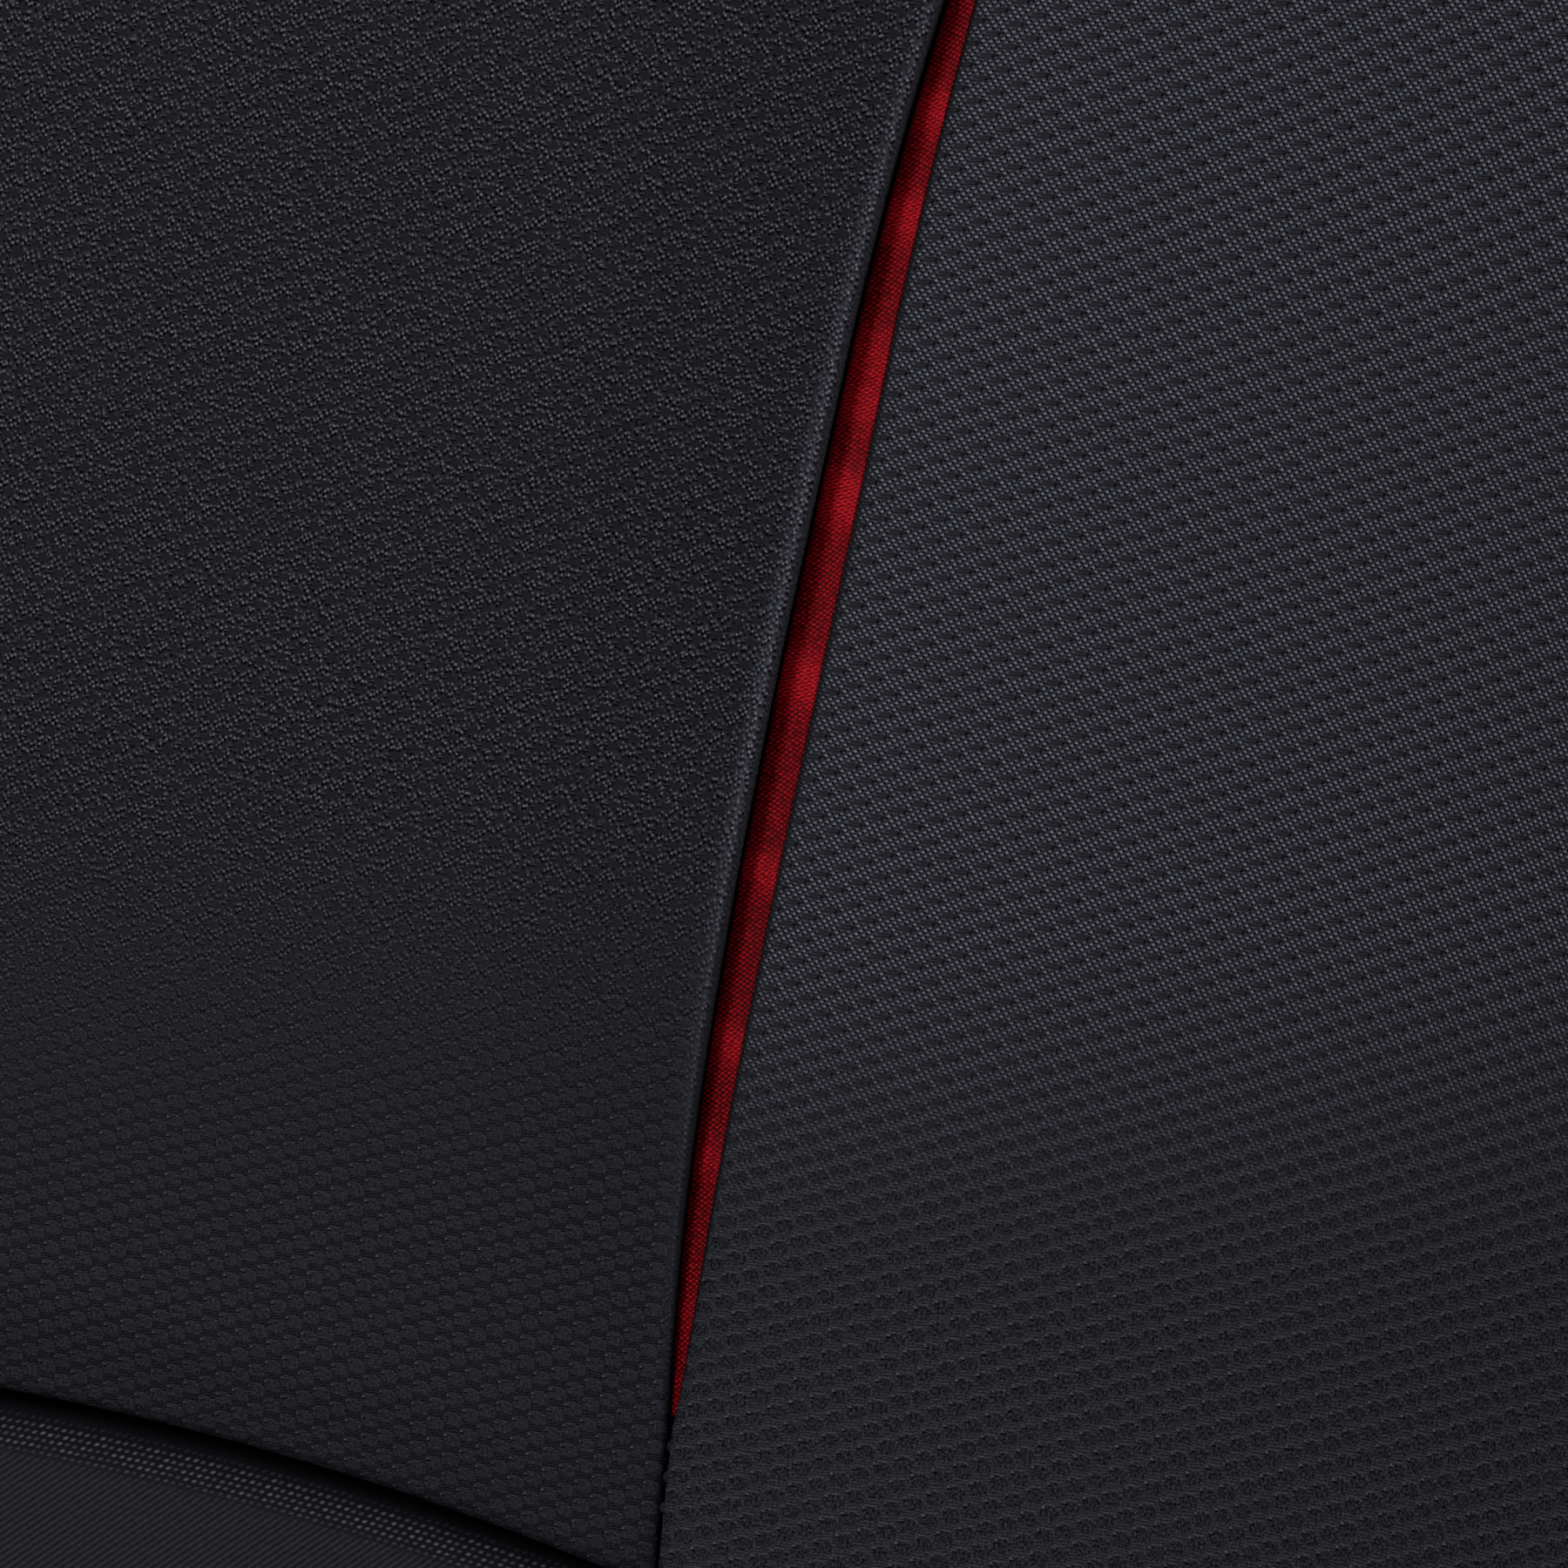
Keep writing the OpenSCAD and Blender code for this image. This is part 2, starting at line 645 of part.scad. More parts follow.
// Flange on the inner face and collar through the wall, for a slot of w by h
module bezel(w, h, r, collar) {
    in_w = w - 2 * (bezel_fit + bezel_collar_t);
    in_h = h - 2 * (bezel_fit + bezel_collar_t);
    difference() {
        union() {
            translate([0, 0, bezel_seat]) linear_extrude(bezel_t)
                round_rect(w + 2 * bezel_flange, h + 2 * bezel_flange, r + bezel_flange);
            translate([0, 0, -collar]) linear_extrude(collar + bezel_seat + bezel_t)
                round_rect(w - 2 * bezel_fit, h - 2 * bezel_fit, r - bezel_fit);
        }
        translate([0, 0, -collar - 1]) linear_extrude(collar + bezel_t + 3)
            round_rect(in_w, in_h, r - bezel_fit - bezel_collar_t);
    }
}

// Tube along points; its rings have the number of sides given
function ring_frame(points, k) =
    let (n = len(points), t = unit(points[min(k + 1, n - 1)] - points[max(k - 1, 0)]))
    let (a = unit(cross(t, abs(t[0]) < 0.9 ? [1, 0, 0] : [0, 1, 0])), b = cross(t, a))
    [a, b];

module wire(points, d, sides) {
    n = len(points);
    rings = [for (k = [0:n - 1]) for (s = [0:sides - 1])
        let (f = ring_frame(points, k), t = 360 * s / sides)
        points[k] + d / 2 * (cos(t) * f[0] + sin(t) * f[1])];
    walls = [for (k = [0:n - 2]) for (s = [0:sides - 1]) for (half = [0, 1])
        let (a = k * sides + s, b = k * sides + (s + 1) % sides, c = b + sides, e = a + sides)
        half == 0 ? [a, b, c] : [a, c, e]];
    ends = [for (s = [1:sides - 2]) each [
        [0, s + 1, s],
        [(n - 1) * sides, (n - 1) * sides + s, (n - 1) * sides + s + 1]]];
    polyhedron(points = rings, faces = concat(walls, ends));
}

// ---- shell ----

bolt_head_w = 13 * bolt_d / 8;
spanner_room = 8;
// The bracket plate stands out from the boss, and leaves room beside the foot bolts' heads
bolt_plane_x = max(hip_half + wall + boss_h, rail_pitch / 2 + bolt_head_w / 2 + spanner_room);
side_bolt_z = seat_height + side_bolt_rise;
insert_wall = 3;
insert_extra = 1.5;
insert_r = bolt_d / 2 + insert_wall;
insert_len = boss_h + insert_extra;
insert_fit = 0.05;
cut_depth = 25;
slot_r = 8;
crotch_slot_r = 6;

lap_heading = 2;
lap_rise = 3;
lap_height = hip_corner_r + hip_wing / 2 + lap_rise;
lap_centre = hip_centre + (hip_r - lap_height) * [0, sin(lap_heading), -cos(lap_heading)];

module at_side_bolts() {
    for (y = [-1, 1]) translate([0, y * side_bolt_pitch / 2, side_bolt_z]) children();
}

// Turns a shape drawn flat so that it faces along X, its width along Y
module facing_x() {
    rotate([90, 0, 90]) children();
}

module shell() {
    outer = [for (i = [0:NU]) [for (j = [0:2 * NS]) GRID[i][j] - wall * NORMALS[i][j]]];
    color([0.07, 0.07, 0.08]) difference() {
        union() {
            slab(GRID, outer, NS);
            both_sides() at_side_bolts()
                translate([hip_half + wall / 2, 0, 0]) rotate([0, 90, 0])
                    cylinder(r = boss_r, h = bolt_plane_x - hip_half - wall / 2);
        }
        both_sides() at_side_bolts()
            translate([bolt_plane_x - insert_len, 0, 0]) rotate([0, 90, 0])
                cylinder(r = insert_r + insert_fit, h = insert_len + 1);
        both_sides() at_spine(shoulder_u)
            translate([shoulder_slot_x, 0, -cut_depth]) linear_extrude(2 * cut_depth)
                round_rect(shoulder_slot_w, shoulder_slot_h, slot_r);
        translate([-hip_half - cut_depth, lap_centre[1], lap_centre[2]]) facing_x()
            linear_extrude(2 * (hip_half + cut_depth)) round_rect(lap_slot_w, lap_slot_h, slot_r);
        at_spine(crotch_u) translate([0, 0, -cut_depth]) linear_extrude(2 * cut_depth)
            round_rect(crotch_slot_w, crotch_slot_h, crotch_slot_r);
    }
}

trim_t = 2.2;
trim_fit = 0.2;
trim_depth = 5;

// Direction out of the shell's edge at grid point k, along its grid lines
function edge_out(k) =
    let (cols = 2 * NS + 1, i = floor(k / cols), j = k % cols)
    unit((j == 0 || j == 2 * NS ? unit(GRID[i][j] - GRID[i][abs(j - 1)]) : [0, 0, 0])
        + (i == 0 || i == NU ? unit(GRID[i][j] - GRID[abs(i - 1)][j]) : [0, 0, 0]));

// U-shaped section of the edge trim: x points out from the edge, y along the normal
TRIM_SECTION = [
    [-trim_depth, 2 * trim_fit], [trim_fit, trim_fit],
    [trim_fit, -wall - trim_fit], [-trim_depth, -wall - 2 * trim_fit],
    [-trim_depth, -wall - trim_fit - trim_t], [trim_fit, -wall - trim_fit - trim_t],
    [trim_fit + trim_t, -wall / 2], [trim_fit, trim_fit + trim_t],
    [-trim_depth, trim_fit + trim_t]
];

module rim_trim() {
    rows = NU + 1;
    cols = 2 * NS + 1;
    loop = edge_loop(rows, cols);
    n = len(loop);
    m = len(TRIM_SECTION);
    edge = [for (k = loop) flat_list(GRID)[k]];
    normals = [for (k = loop) flat_list(NORMALS)[k]];
    points = [for (k = [0:n - 1]) for (q = TRIM_SECTION)
        edge[k] + q[0] * edge_out(loop[k]) + q[1] * normals[k]];
    faces = [for (k = [0:n - 1]) for (s = [0:m - 1]) for (half = [0, 1])
        let (a = k * m + s, b = k * m + (s + 1) % m)
        let (c = ((k + 1) % n) * m + (s + 1) % m, d = ((k + 1) % n) * m + s)
        half == 0 ? [a, b, c] : [a, c, d]];
    color([0.05, 0.05, 0.05]) polyhedron(points = points, faces = faces);
}

module shoulder_bezel() {
    color([0.1, 0.1, 0.1]) at_spine(shoulder_u) translate([shoulder_slot_x, 0, 0])
        bezel(shoulder_slot_w, shoulder_slot_h, slot_r, bezel_collar);
}

module lap_bezel() {
    color([0.1, 0.1, 0.1]) translate([hip_half, lap_centre[1], lap_centre[2]])
        facing_x() rotate([0, 180, 0])
            bezel(lap_slot_w, lap_slot_h, slot_r, bezel_collar);
}

module crotch_bezel() {
    color([0.1, 0.1, 0.1]) at_spine(crotch_u)
        bezel(crotch_slot_w, crotch_slot_h, crotch_slot_r, bezel_collar);
}

// ---- soft parts ----

foam_grey = [0.55, 0.55, 0.52];
cloth_black = [0.13, 0.135, 0.15];
twill_black = [0.12, 0.12, 0.135];

module back_foam() { color(foam_grey) pad_foam(BACK_PAD); }
module back_cover() { color(cloth_black) pad_cover(BACK_PAD); }
module back_bolster_foam() { color(foam_grey) pad_foam(BOLSTER_PAD); }
module back_bolster_cover() { color(cloth_black) pad_cover(BOLSTER_PAD); }
module lumbar_foam() { color(foam_grey) pad_foam(LUMBAR_PAD); }
module lumbar_cover() { color(twill_black) pad_cover(LUMBAR_PAD); }
module head_foam() { color(foam_grey) pad_foam(HEAD_PAD); }
module head_cover() { color(cloth_black) pad_cover(HEAD_PAD); }
module seat_foam() { color(foam_grey) pad_foam(SEAT_PAD); }
module seat_cover() { color(cloth_black) pad_cover(SEAT_PAD); }
module knee_foam() { color(foam_grey) pad_foam(KNEE_PAD); }
module knee_cover() { color(twill_black) pad_cover(KNEE_PAD); }
module thigh_bolster_foam() { color(foam_grey) pad_foam(THIGH_PAD); }
module thigh_bolster_cover() { color(cloth_black) pad_cover(THIGH_PAD); }

insert_side_gap = 0.35;
insert_end = 3;
reveal_end = reveal_start + reveal_len;
INSERT_ROWS = concat([reveal_start + insert_end],
    [for (u = KNOTS) if (u > reveal_start + 8 && u < reveal_end - 8) u],
    [reveal_end - insert_end]);

// Ribbon across the open seam, below the pads' edges
module red_insert() {
    top = lift_glued + back_pad_t * BACK_PAD[8][0] - insert_depth;
    grid = function (h) [for (u = INSERT_ROWS)
        let (half = seam_width(u) / 2 - insert_side_gap)
        [for (s = [-1, 1]) above_shell(u, seam_w(u) + s * half, h)]];
    color([0.55, 0.02, 0.08]) slab(grid(top), grid(top - insert_t));
}

patch_w = 60;
patch_l = 34;
patch_seat = 0.05;
// Place along the spine and distance from the middle of each pair of patches
seat_patch_x = 70;
lumbar_patch_x = 52;
head_patch_x = 36;
PATCHES = [
    [U_LIP + 28, seat_patch_x], [U_PAN - 70, seat_patch_x], [U_PAN - 24, seat_patch_x],
    [U_HIP + 70, lumbar_patch_x], [U_LOWER - 32, lumbar_patch_x],
    [U_NECK + 24, head_patch_x], [U_TOP - head_bend, head_patch_x]
];

module hook_patches() {
    color([0.16, 0.16, 0.17]) for (patch = PATCHES) at_spine(patch[0]) both_sides()
        translate([patch[1] - patch_w / 2, -patch_l / 2, patch_seat])
            cube([patch_w, patch_l, patch_t - patch_seat]);
}

// ---- side mounts ----

washer_t = 1.6;
washer_w = 4;
head_w = 3;
washer_r = bolt_d / 2 + washer_w;
head_r = bolt_d / 2 + head_w;
head_h = bolt_d * 0.55;
insert_bore_r = bolt_d / 2 + 0.05;
bracket_x = bolt_plane_x + bracket_t;
rail_x = rail_pitch / 2;
upper_rise = 5;
foot_inset = 20;
upper_top_z = rail_h + upper_rise;
foot_inner_x = rail_x - foot_inset;
bolt_end = 1.5;
ear_r = 18;
spare_hole_drop = 26;
window_r = 19;
window_pitch = 76;
window_rise = 36;
window_z = upper_top_z + window_rise;
saddle_rise = 70;
saddle_run = 58;

module side_inserts() {
    color([0.75, 0.7, 0.5]) both_sides() at_side_bolts() rotate([0, 90, 0])
        difference() {
            translate([0, 0, bolt_plane_x - insert_len]) cylinder(r = insert_r, h = insert_len);
            translate([0, 0, bolt_plane_x - insert_len - 1])
                cylinder(r = insert_bore_r, h = insert_len + 2);
        }
}

module side_bolts() {
    seat_x = bracket_x + washer_t;
    color([0.7, 0.7, 0.72]) both_sides() at_side_bolts() rotate([0, 90, 0]) {
        difference() {
            translate([0, 0, seat_x]) cylinder(r = head_r, h = head_h);
            translate([0, 0, seat_x + head_h / 2]) cylinder(r = bolt_d * 0.36, h = head_h, $fn = 6);
        }
        translate([0, 0, bolt_plane_x - insert_len + 0.5])
            cylinder(d = bolt_d, h = seat_x - bolt_plane_x + insert_len);
    }
}

module side_washers() {
    color([0.75, 0.75, 0.77]) both_sides() at_side_bolts() rotate([0, 90, 0])
        difference() {
            translate([0, 0, bracket_x]) cylinder(r = washer_r, h = washer_t);
            translate([0, 0, bracket_x - 1]) cylinder(d = bolt_hole_d, h = washer_t + 2);
        }
}

// Outline of the upright plate: foot line, two ears, a saddle between them
module bracket_outline() {
    y = side_bolt_pitch / 2;
    saddle_z = upper_top_z + saddle_rise;
    polygon([
        [-foot_half, upper_top_z], [foot_half, upper_top_z],
        [y + ear_r, side_bolt_z], [y - ear_r, side_bolt_z],
        [y - saddle_run, saddle_z], [-y + saddle_run, saddle_z],
        [-y + ear_r, side_bolt_z], [-y - ear_r, side_bolt_z]
    ]);
    for (side = [-1, 1]) translate([side * y, side_bolt_z]) circle(r = ear_r);
}

module bracket() {
    y = side_bolt_pitch / 2;
    color([0.12, 0.12, 0.13]) difference() {
        union() {
            translate([bolt_plane_x, 0, 0]) facing_x()
                linear_extrude(bracket_t) bracket_outline();
            translate([foot_inner_x, -foot_half, upper_top_z])
                cube([bracket_x - foot_inner_x, 2 * foot_half, bracket_t]);
        }
        at_side_bolts() translate([bolt_plane_x - 1, 0, 0]) rotate([0, 90, 0]) {
            cylinder(d = bolt_hole_d, h = bracket_t + 2);
            for (k = [1, 2]) translate([k * spare_hole_drop, 0, 0])
                cylinder(d = bolt_hole_d, h = bracket_t + 2);
        }
        for (k = [-1, 0, 1])
            translate([bolt_plane_x - 1, k * window_pitch, window_z]) rotate([0, 90, 0])
                cylinder(r = window_r, h = bracket_t + 2);
        for (k = [-1, 1])
            translate([rail_x, k * foot_bolt_pitch / 2, upper_top_z - 1])
                cylinder(d = bolt_hole_d, h = bracket_t + 2);
    }
}

nut_af = bolt_head_w;
nut_h = 0.8 * bolt_d;

module foot_bolts() {
    color([0.7, 0.7, 0.72]) both_sides() for (k = [-1, 1])
        translate([rail_x, k * foot_bolt_pitch / 2, 0]) {
            difference() {
                translate([0, 0, upper_top_z + bracket_t]) cylinder(d = nut_af, h = bolt_d);
                translate([0, 0, upper_top_z + bracket_t + bolt_d / 2])
                    cylinder(r = bolt_d * 0.42, h = bolt_d, $fn = 6);
            }
            translate([0, 0, upper_top_z - rail_plate_t - nut_h - bolt_end])
                cylinder(d = bolt_d, h = rail_plate_t + nut_h + bracket_t + bolt_end + 0.5);
        }
}

module foot_nuts() {
    color([0.75, 0.75, 0.77]) both_sides() for (k = [-1, 1])
        translate([rail_x, k * foot_bolt_pitch / 2, upper_top_z - rail_plate_t - nut_h])
            difference() {
                rotate([0, 0, 30]) cylinder(d = nut_af / cos(30), h = nut_h, $fn = 6);
                translate([0, 0, -1]) cylinder(r = insert_bore_r, h = nut_h + 2);
            }
}

// ---- slider ----

rail_plate_t = 3;
rail_plate_w = 40;
nut_play = 1;
web_gap = nut_af + nut_play;
lip_z = rail_h - rail_t;
ball_z = rail_t + ball_d / 2;
track_z = rail_t + ball_d;
track_end = rail_w / 2 - rail_t - slide_clearance;
ball_x = 14;
stop_r = 3;
stop_tab = 4;
stop_w = 10;
stop_bottom = ball_z - 1.5;
lock_x = rail_w / 2;
tooth_y = -100;
tooth_l = 5;
notch_w = 8;

module along_y(l) {
    rotate([90, 0, 0]) linear_extrude(l, center = true) children();
}

// Drawn for the right-hand rail: the lock strip is on the seat's inner side
module lower_rail() {
    w = rail_w / 2;
    m = rail_mouth / 2;
    notches = floor((2 * travel) / notch_pitch);
    color([0.45, 0.46, 0.48]) translate([rail_x, 0, 0]) difference() {
        union() {
            along_y(rail_len) polygon([
                [-w, 0], [w, 0], [w, rail_h], [m, rail_h], [m, lip_z], [w - rail_t, lip_z],
                [w - rail_t, rail_t], [-w + rail_t, rail_t], [-w + rail_t, lip_z],
                [-m, lip_z], [-m, rail_h], [-w - lock_strip_w, rail_h],
                [-w - lock_strip_w, lip_z], [-w, lip_z]
            ]);
            for (k = [-1, 1])
                translate([0, k * (travel + stop_tab + stop_r + slide_clearance), rail_t / 2])
                    cylinder(r = stop_r, h = ball_d - rail_t / 2);
        }
        for (k = [-1, 1]) translate([0, k * floor_bolt_pitch / 2, -1])
            cylinder(d = bolt_hole_d, h = rail_t + 2);
        for (k = [-notches / 2:notches / 2])
            translate([-lever_x - notch_w / 2, tooth_y + k * notch_pitch - notch_l / 2, lip_z - 1])
                cube([notch_w, notch_l, rail_t + 2]);
    }
}

module upper_rail() {
    p = rail_plate_w / 2;
    g = web_gap / 2;
    z0 = upper_top_z - rail_plate_t;
    curl_z = lip_z - slide_clearance;
    color([0.5, 0.51, 0.53]) translate([rail_x, 0, 0]) difference() {
        union() {
            along_y(rail_len) polygon([
                [-p, upper_top_z], [p, upper_top_z], [p, z0], [g + rail_t, z0],
                [g + rail_t, track_z + rail_t], [track_end - rail_t, track_z + rail_t],
                [track_end - rail_t, curl_z], [track_end, curl_z], [track_end, track_z],
                [g, track_z], [g, z0], [-g, z0], [-g, track_z], [-track_end, track_z],
                [-track_end, curl_z], [-track_end + rail_t, curl_z],
                [-track_end + rail_t, track_z + rail_t], [-g - rail_t, track_z + rail_t],
                [-g - rail_t, z0], [-p, z0]
            ]);
            translate([-stop_w / 2, -stop_tab, stop_bottom])
                cube([stop_w, 2 * stop_tab, upper_top_z - rail_plate_t / 2 - stop_bottom]);
            pivot_ear();
        }
        for (k = [-1, 1]) translate([0, k * foot_bolt_pitch / 2, z0 - 1])
            cylinder(d = bolt_hole_d, h = rail_plate_t + 2);
        translate([-ear_x - 1, pivot_y, pivot_z]) rotate([0, 90, 0])
            cylinder(r = pivot_d / 2 + pivot_clearance, h = ear_t + 2);
    }
}

cage_t = 2;
cage_w = 12;
cage_end = 22;
cage_play = 0.3;
row_len = (balls_per_row - 1) * ball_pitch;
cage_len = row_len + 2 * cage_end;

module at_balls() {
    for (k = [0:balls_per_row - 1], side = [-1, 1])
        translate([rail_x + side * ball_x, k * ball_pitch - row_len / 2, ball_z]) children();
}

module balls() {
    color([0.85, 0.85, 0.87]) at_balls() sphere(r = ball_d / 2 - ball_clearance);
}

module ball_cage() {
    color([0.6, 0.55, 0.35]) difference() {
        for (side = [-1, 1])
            translate([rail_x + side * ball_x - cage_w / 2, -cage_len / 2, ball_z - cage_t / 2])
                cube([cage_w, cage_len, cage_t]);
        at_balls() translate([0, 0, -cage_t]) cylinder(d = ball_d + cage_play, h = 2 * cage_t);
    }
}

// ---- release bar ----

pivot_y = -40;
ear_t = 3;
ear_x = 24;
ear_l = 22;
lever_x = lock_x + lock_strip_w / 2;
notch_l = 7;
bar_end = 3;
hub_wall = 5;
hub_r = pivot_d / 2 + hub_wall;
arm_h = 12;
eye_wall = 4;
spring_play = 0.6;
spring_off = 0.5;
pin_play = 0.8;
pin_head_w = 2.2;
bar_y = pivot_y - bar_reach;
spring_r = pivot_d / 2 + spring_play + spring_wire_d / 2;
spring_x = lever_x + lever_t / 2 + spring_wire_d / 2 + spring_off;
spring_len = spring_turns * spring_pitch;
pin_end = spring_x + spring_len + spring_wire_d / 2 + pin_play;
pin_head_t = 2.5;
pin_head_r = pivot_d / 2 + pin_head_w;
pin_tip = 1.5;

// Lug on the upper rail that carries the pivot pin
module pivot_ear() {
    translate([-ear_x, pivot_y, 0]) facing_x() linear_extrude(ear_t) {
        translate([0, pivot_z]) circle(r = hub_r);
        polygon([
            [-ear_l / 2, upper_top_z - rail_plate_t], [ear_l / 2, upper_top_z - rail_plate_t],
            [ear_l / 2, upper_top_z], [hub_r, pivot_z], [-hub_r, pivot_z],
            [-ear_l / 2, upper_top_z]
        ]);
    }
    translate([-ear_x, pivot_y - ear_l / 2, upper_top_z - rail_plate_t])
        cube([ear_x - rail_plate_w / 2 + 1, ear_l, rail_plate_t]);
}

// Flat lever: hub, arm to the release bar, tooth over the lock strip
module latch() {
    y1 = bar_y - pivot_y;
    z1 = bar_z - pivot_z;
    eye_r = bar_d / 2 + eye_wall;
    tooth_bottom = rail_h + slide_clearance;
    y_tooth = tooth_y - pivot_y;
    color([0.4, 0.4, 0.42]) translate([rail_x - lever_x - lever_t / 2, pivot_y, pivot_z])
        difference() {
            facing_x() linear_extrude(lever_t) {
                circle(r = hub_r);
                polygon([
                    [-hub_r / 2, -arm_h / 2 - 1], [-hub_r / 2, arm_h / 2 + 1],
                    [y1 * 0.55, arm_h / 2], [y1 + eye_r / 2, z1 + arm_h / 2 + 1],
                    [y1 + eye_r / 2, z1 - arm_h / 2 - 1], [y1 * 0.55, -arm_h / 2]
                ]);
                translate([y1, z1]) circle(r = eye_r);
                polygon([
                    [y_tooth + tooth_l / 2 + 4, -1], [y_tooth - tooth_l / 2 - 4, -1],
                    [y_tooth - tooth_l / 2, tooth_bottom - pivot_z],
                    [y_tooth + tooth_l / 2, tooth_bottom - pivot_z]
                ]);
            }
            translate([-1, 0, 0]) rotate([0, 90, 0])
                cylinder(r = pivot_d / 2 + pivot_clearance, h = lever_t + 2);
            translate([-1, y1, z1]) rotate([0, 90, 0])
                cylinder(r = bar_d / 2 + pivot_clearance, h = lever_t + 2);
        }
}

module release_bar() {
    half = rail_x - lever_x + lever_t / 2 + bar_end;
    color([0.14, 0.14, 0.15]) translate([-half, bar_y, bar_z]) rotate([0, 90, 0])
        difference() {
            cylinder(d = bar_d, h = 2 * half);
            translate([0, 0, -1]) cylinder(d = bar_d - 3, h = 2 * half + 2);
        }
}

module release_grip() {
    color([0.08, 0.08, 0.08]) translate([-grip_len / 2, bar_y, bar_z]) rotate([0, 90, 0])
        difference() {
            cylinder(d = grip_d, h = grip_len);
            translate([0, 0, -1]) cylinder(r = bar_d / 2 + pivot_clearance, h = grip_len + 2);
        }
}

module pivot_pins() {
    color([0.7, 0.7, 0.72]) both_sides()
        translate([rail_x - pin_end - pin_head_t, pivot_y, pivot_z]) rotate([0, 90, 0]) {
            cylinder(r = pin_head_r, h = pin_head_t);
            cylinder(r = pivot_d / 2, h = pin_end + pin_head_t - ear_x + ear_t + pin_tip);
        }
}

steps_per_turn = 8;
spring_leg = 14;

// Centre line of a torsion spring: straight leg, turns, straight leg
SPRING_TURNS = [for (k = [0:spring_turns * steps_per_turn])
    let (t = 360 * k / steps_per_turn)
    [-spring_pitch * k / steps_per_turn, spring_r * cos(t), spring_r * sin(t)]];
SPRING_LINE = concat(
    [SPRING_TURNS[0] + [0, 0, -spring_leg], SPRING_TURNS[0] + [0, 0, -spring_leg / 2]],
    SPRING_TURNS,
    [SPRING_TURNS[len(SPRING_TURNS) - 1] + [0, 0, spring_leg / 2],
     SPRING_TURNS[len(SPRING_TURNS) - 1] + [0, 0, spring_leg]]);

module latch_spring() {
    color([0.65, 0.66, 0.7]) translate([rail_x - spring_x, pivot_y, pivot_z])
        wire(SPRING_LINE, spring_wire_d, 6);
}

// Least gap between a turn and the next
spring_self_gap = min([for (k = [steps_per_turn:len(SPRING_TURNS) - 1])
    norm(SPRING_TURNS[k] - SPRING_TURNS[k - steps_per_turn])]) - spring_wire_d;
echo(spring_self_gap = spring_self_gap);

mirror([1, 0, 0]) lower_rail();  // lower_rail_left
lower_rail();  // lower_rail_right
mirror([1, 0, 0]) upper_rail();  // upper_rail_left
upper_rail();  // upper_rail_right
mirror([1, 0, 0]) ball_cage();  // ball_cage_left
ball_cage();  // ball_cage_right
mirror([1, 0, 0]) balls();  // balls_left
balls();  // balls_right
mirror([1, 0, 0]) bracket();  // bracket_left
bracket();  // bracket_right
foot_bolts();
foot_nuts();
side_bolts();
side_washers();
side_inserts();
shell();
rim_trim();
mirror([1, 0, 0]) shoulder_bezel();  // shoulder_bezel_left
shoulder_bezel();  // shoulder_bezel_right
mirror([1, 0, 0]) lap_bezel();  // lap_bezel_left
lap_bezel();  // lap_bezel_right
crotch_bezel();
back_foam();
back_cover();
mirror([1, 0, 0]) back_bolster_foam();  // back_bolster_foam_left
mirror([1, 0, 0]) back_bolster_cover();  // back_bolster_cover_left
back_bolster_foam();  // back_bolster_foam_right
back_bolster_cover();  // back_bolster_cover_right
mirror([1, 0, 0]) red_insert();  // red_insert_left
red_insert();  // red_insert_right
lumbar_foam();
lumbar_cover();
head_foam();
head_cover();
seat_foam();
seat_cover();
knee_foam();
knee_cover();
mirror([1, 0, 0]) thigh_bolster_foam();  // thigh_bolster_foam_left
mirror([1, 0, 0]) thigh_bolster_cover();  // thigh_bolster_cover_left
thigh_bolster_foam();  // thigh_bolster_foam_right
thigh_bolster_cover();  // thigh_bolster_cover_right
hook_patches();
release_bar();
release_grip();
mirror([1, 0, 0]) latch();  // latch_left
latch();  // latch_right
pivot_pins();
mirror([1, 0, 0]) latch_spring();  // latch_spring_left
latch_spring();  // latch_spring_right
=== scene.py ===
"""Dresses a fixed-back bucket seat: sewn pads, red seam reveals, composite shell, slider."""

import sys

import logging
import math
from dataclasses import dataclass, field
from enum import Enum
from typing import Callable, Sequence

import bmesh
import bpy
import numpy as np
from mathutils import Matrix, Vector


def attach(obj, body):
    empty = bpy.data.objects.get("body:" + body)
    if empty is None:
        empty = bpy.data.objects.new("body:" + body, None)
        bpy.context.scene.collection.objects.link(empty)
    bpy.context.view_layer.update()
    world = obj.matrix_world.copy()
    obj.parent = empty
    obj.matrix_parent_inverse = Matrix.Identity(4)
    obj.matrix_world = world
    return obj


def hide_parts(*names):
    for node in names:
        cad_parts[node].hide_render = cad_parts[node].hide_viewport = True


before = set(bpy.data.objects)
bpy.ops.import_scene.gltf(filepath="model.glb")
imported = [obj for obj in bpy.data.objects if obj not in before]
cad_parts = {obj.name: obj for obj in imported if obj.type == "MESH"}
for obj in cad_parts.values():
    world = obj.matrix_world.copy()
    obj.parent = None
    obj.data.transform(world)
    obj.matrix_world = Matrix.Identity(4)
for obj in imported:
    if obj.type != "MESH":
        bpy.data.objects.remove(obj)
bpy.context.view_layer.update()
LOG = logging.getLogger("seat")
MM = 0.001
Array = np.ndarray
Colour = tuple[float, float, float]
Pair = tuple[float, float]
Triple = tuple[float, float, float]
Faces = list[list[int]]

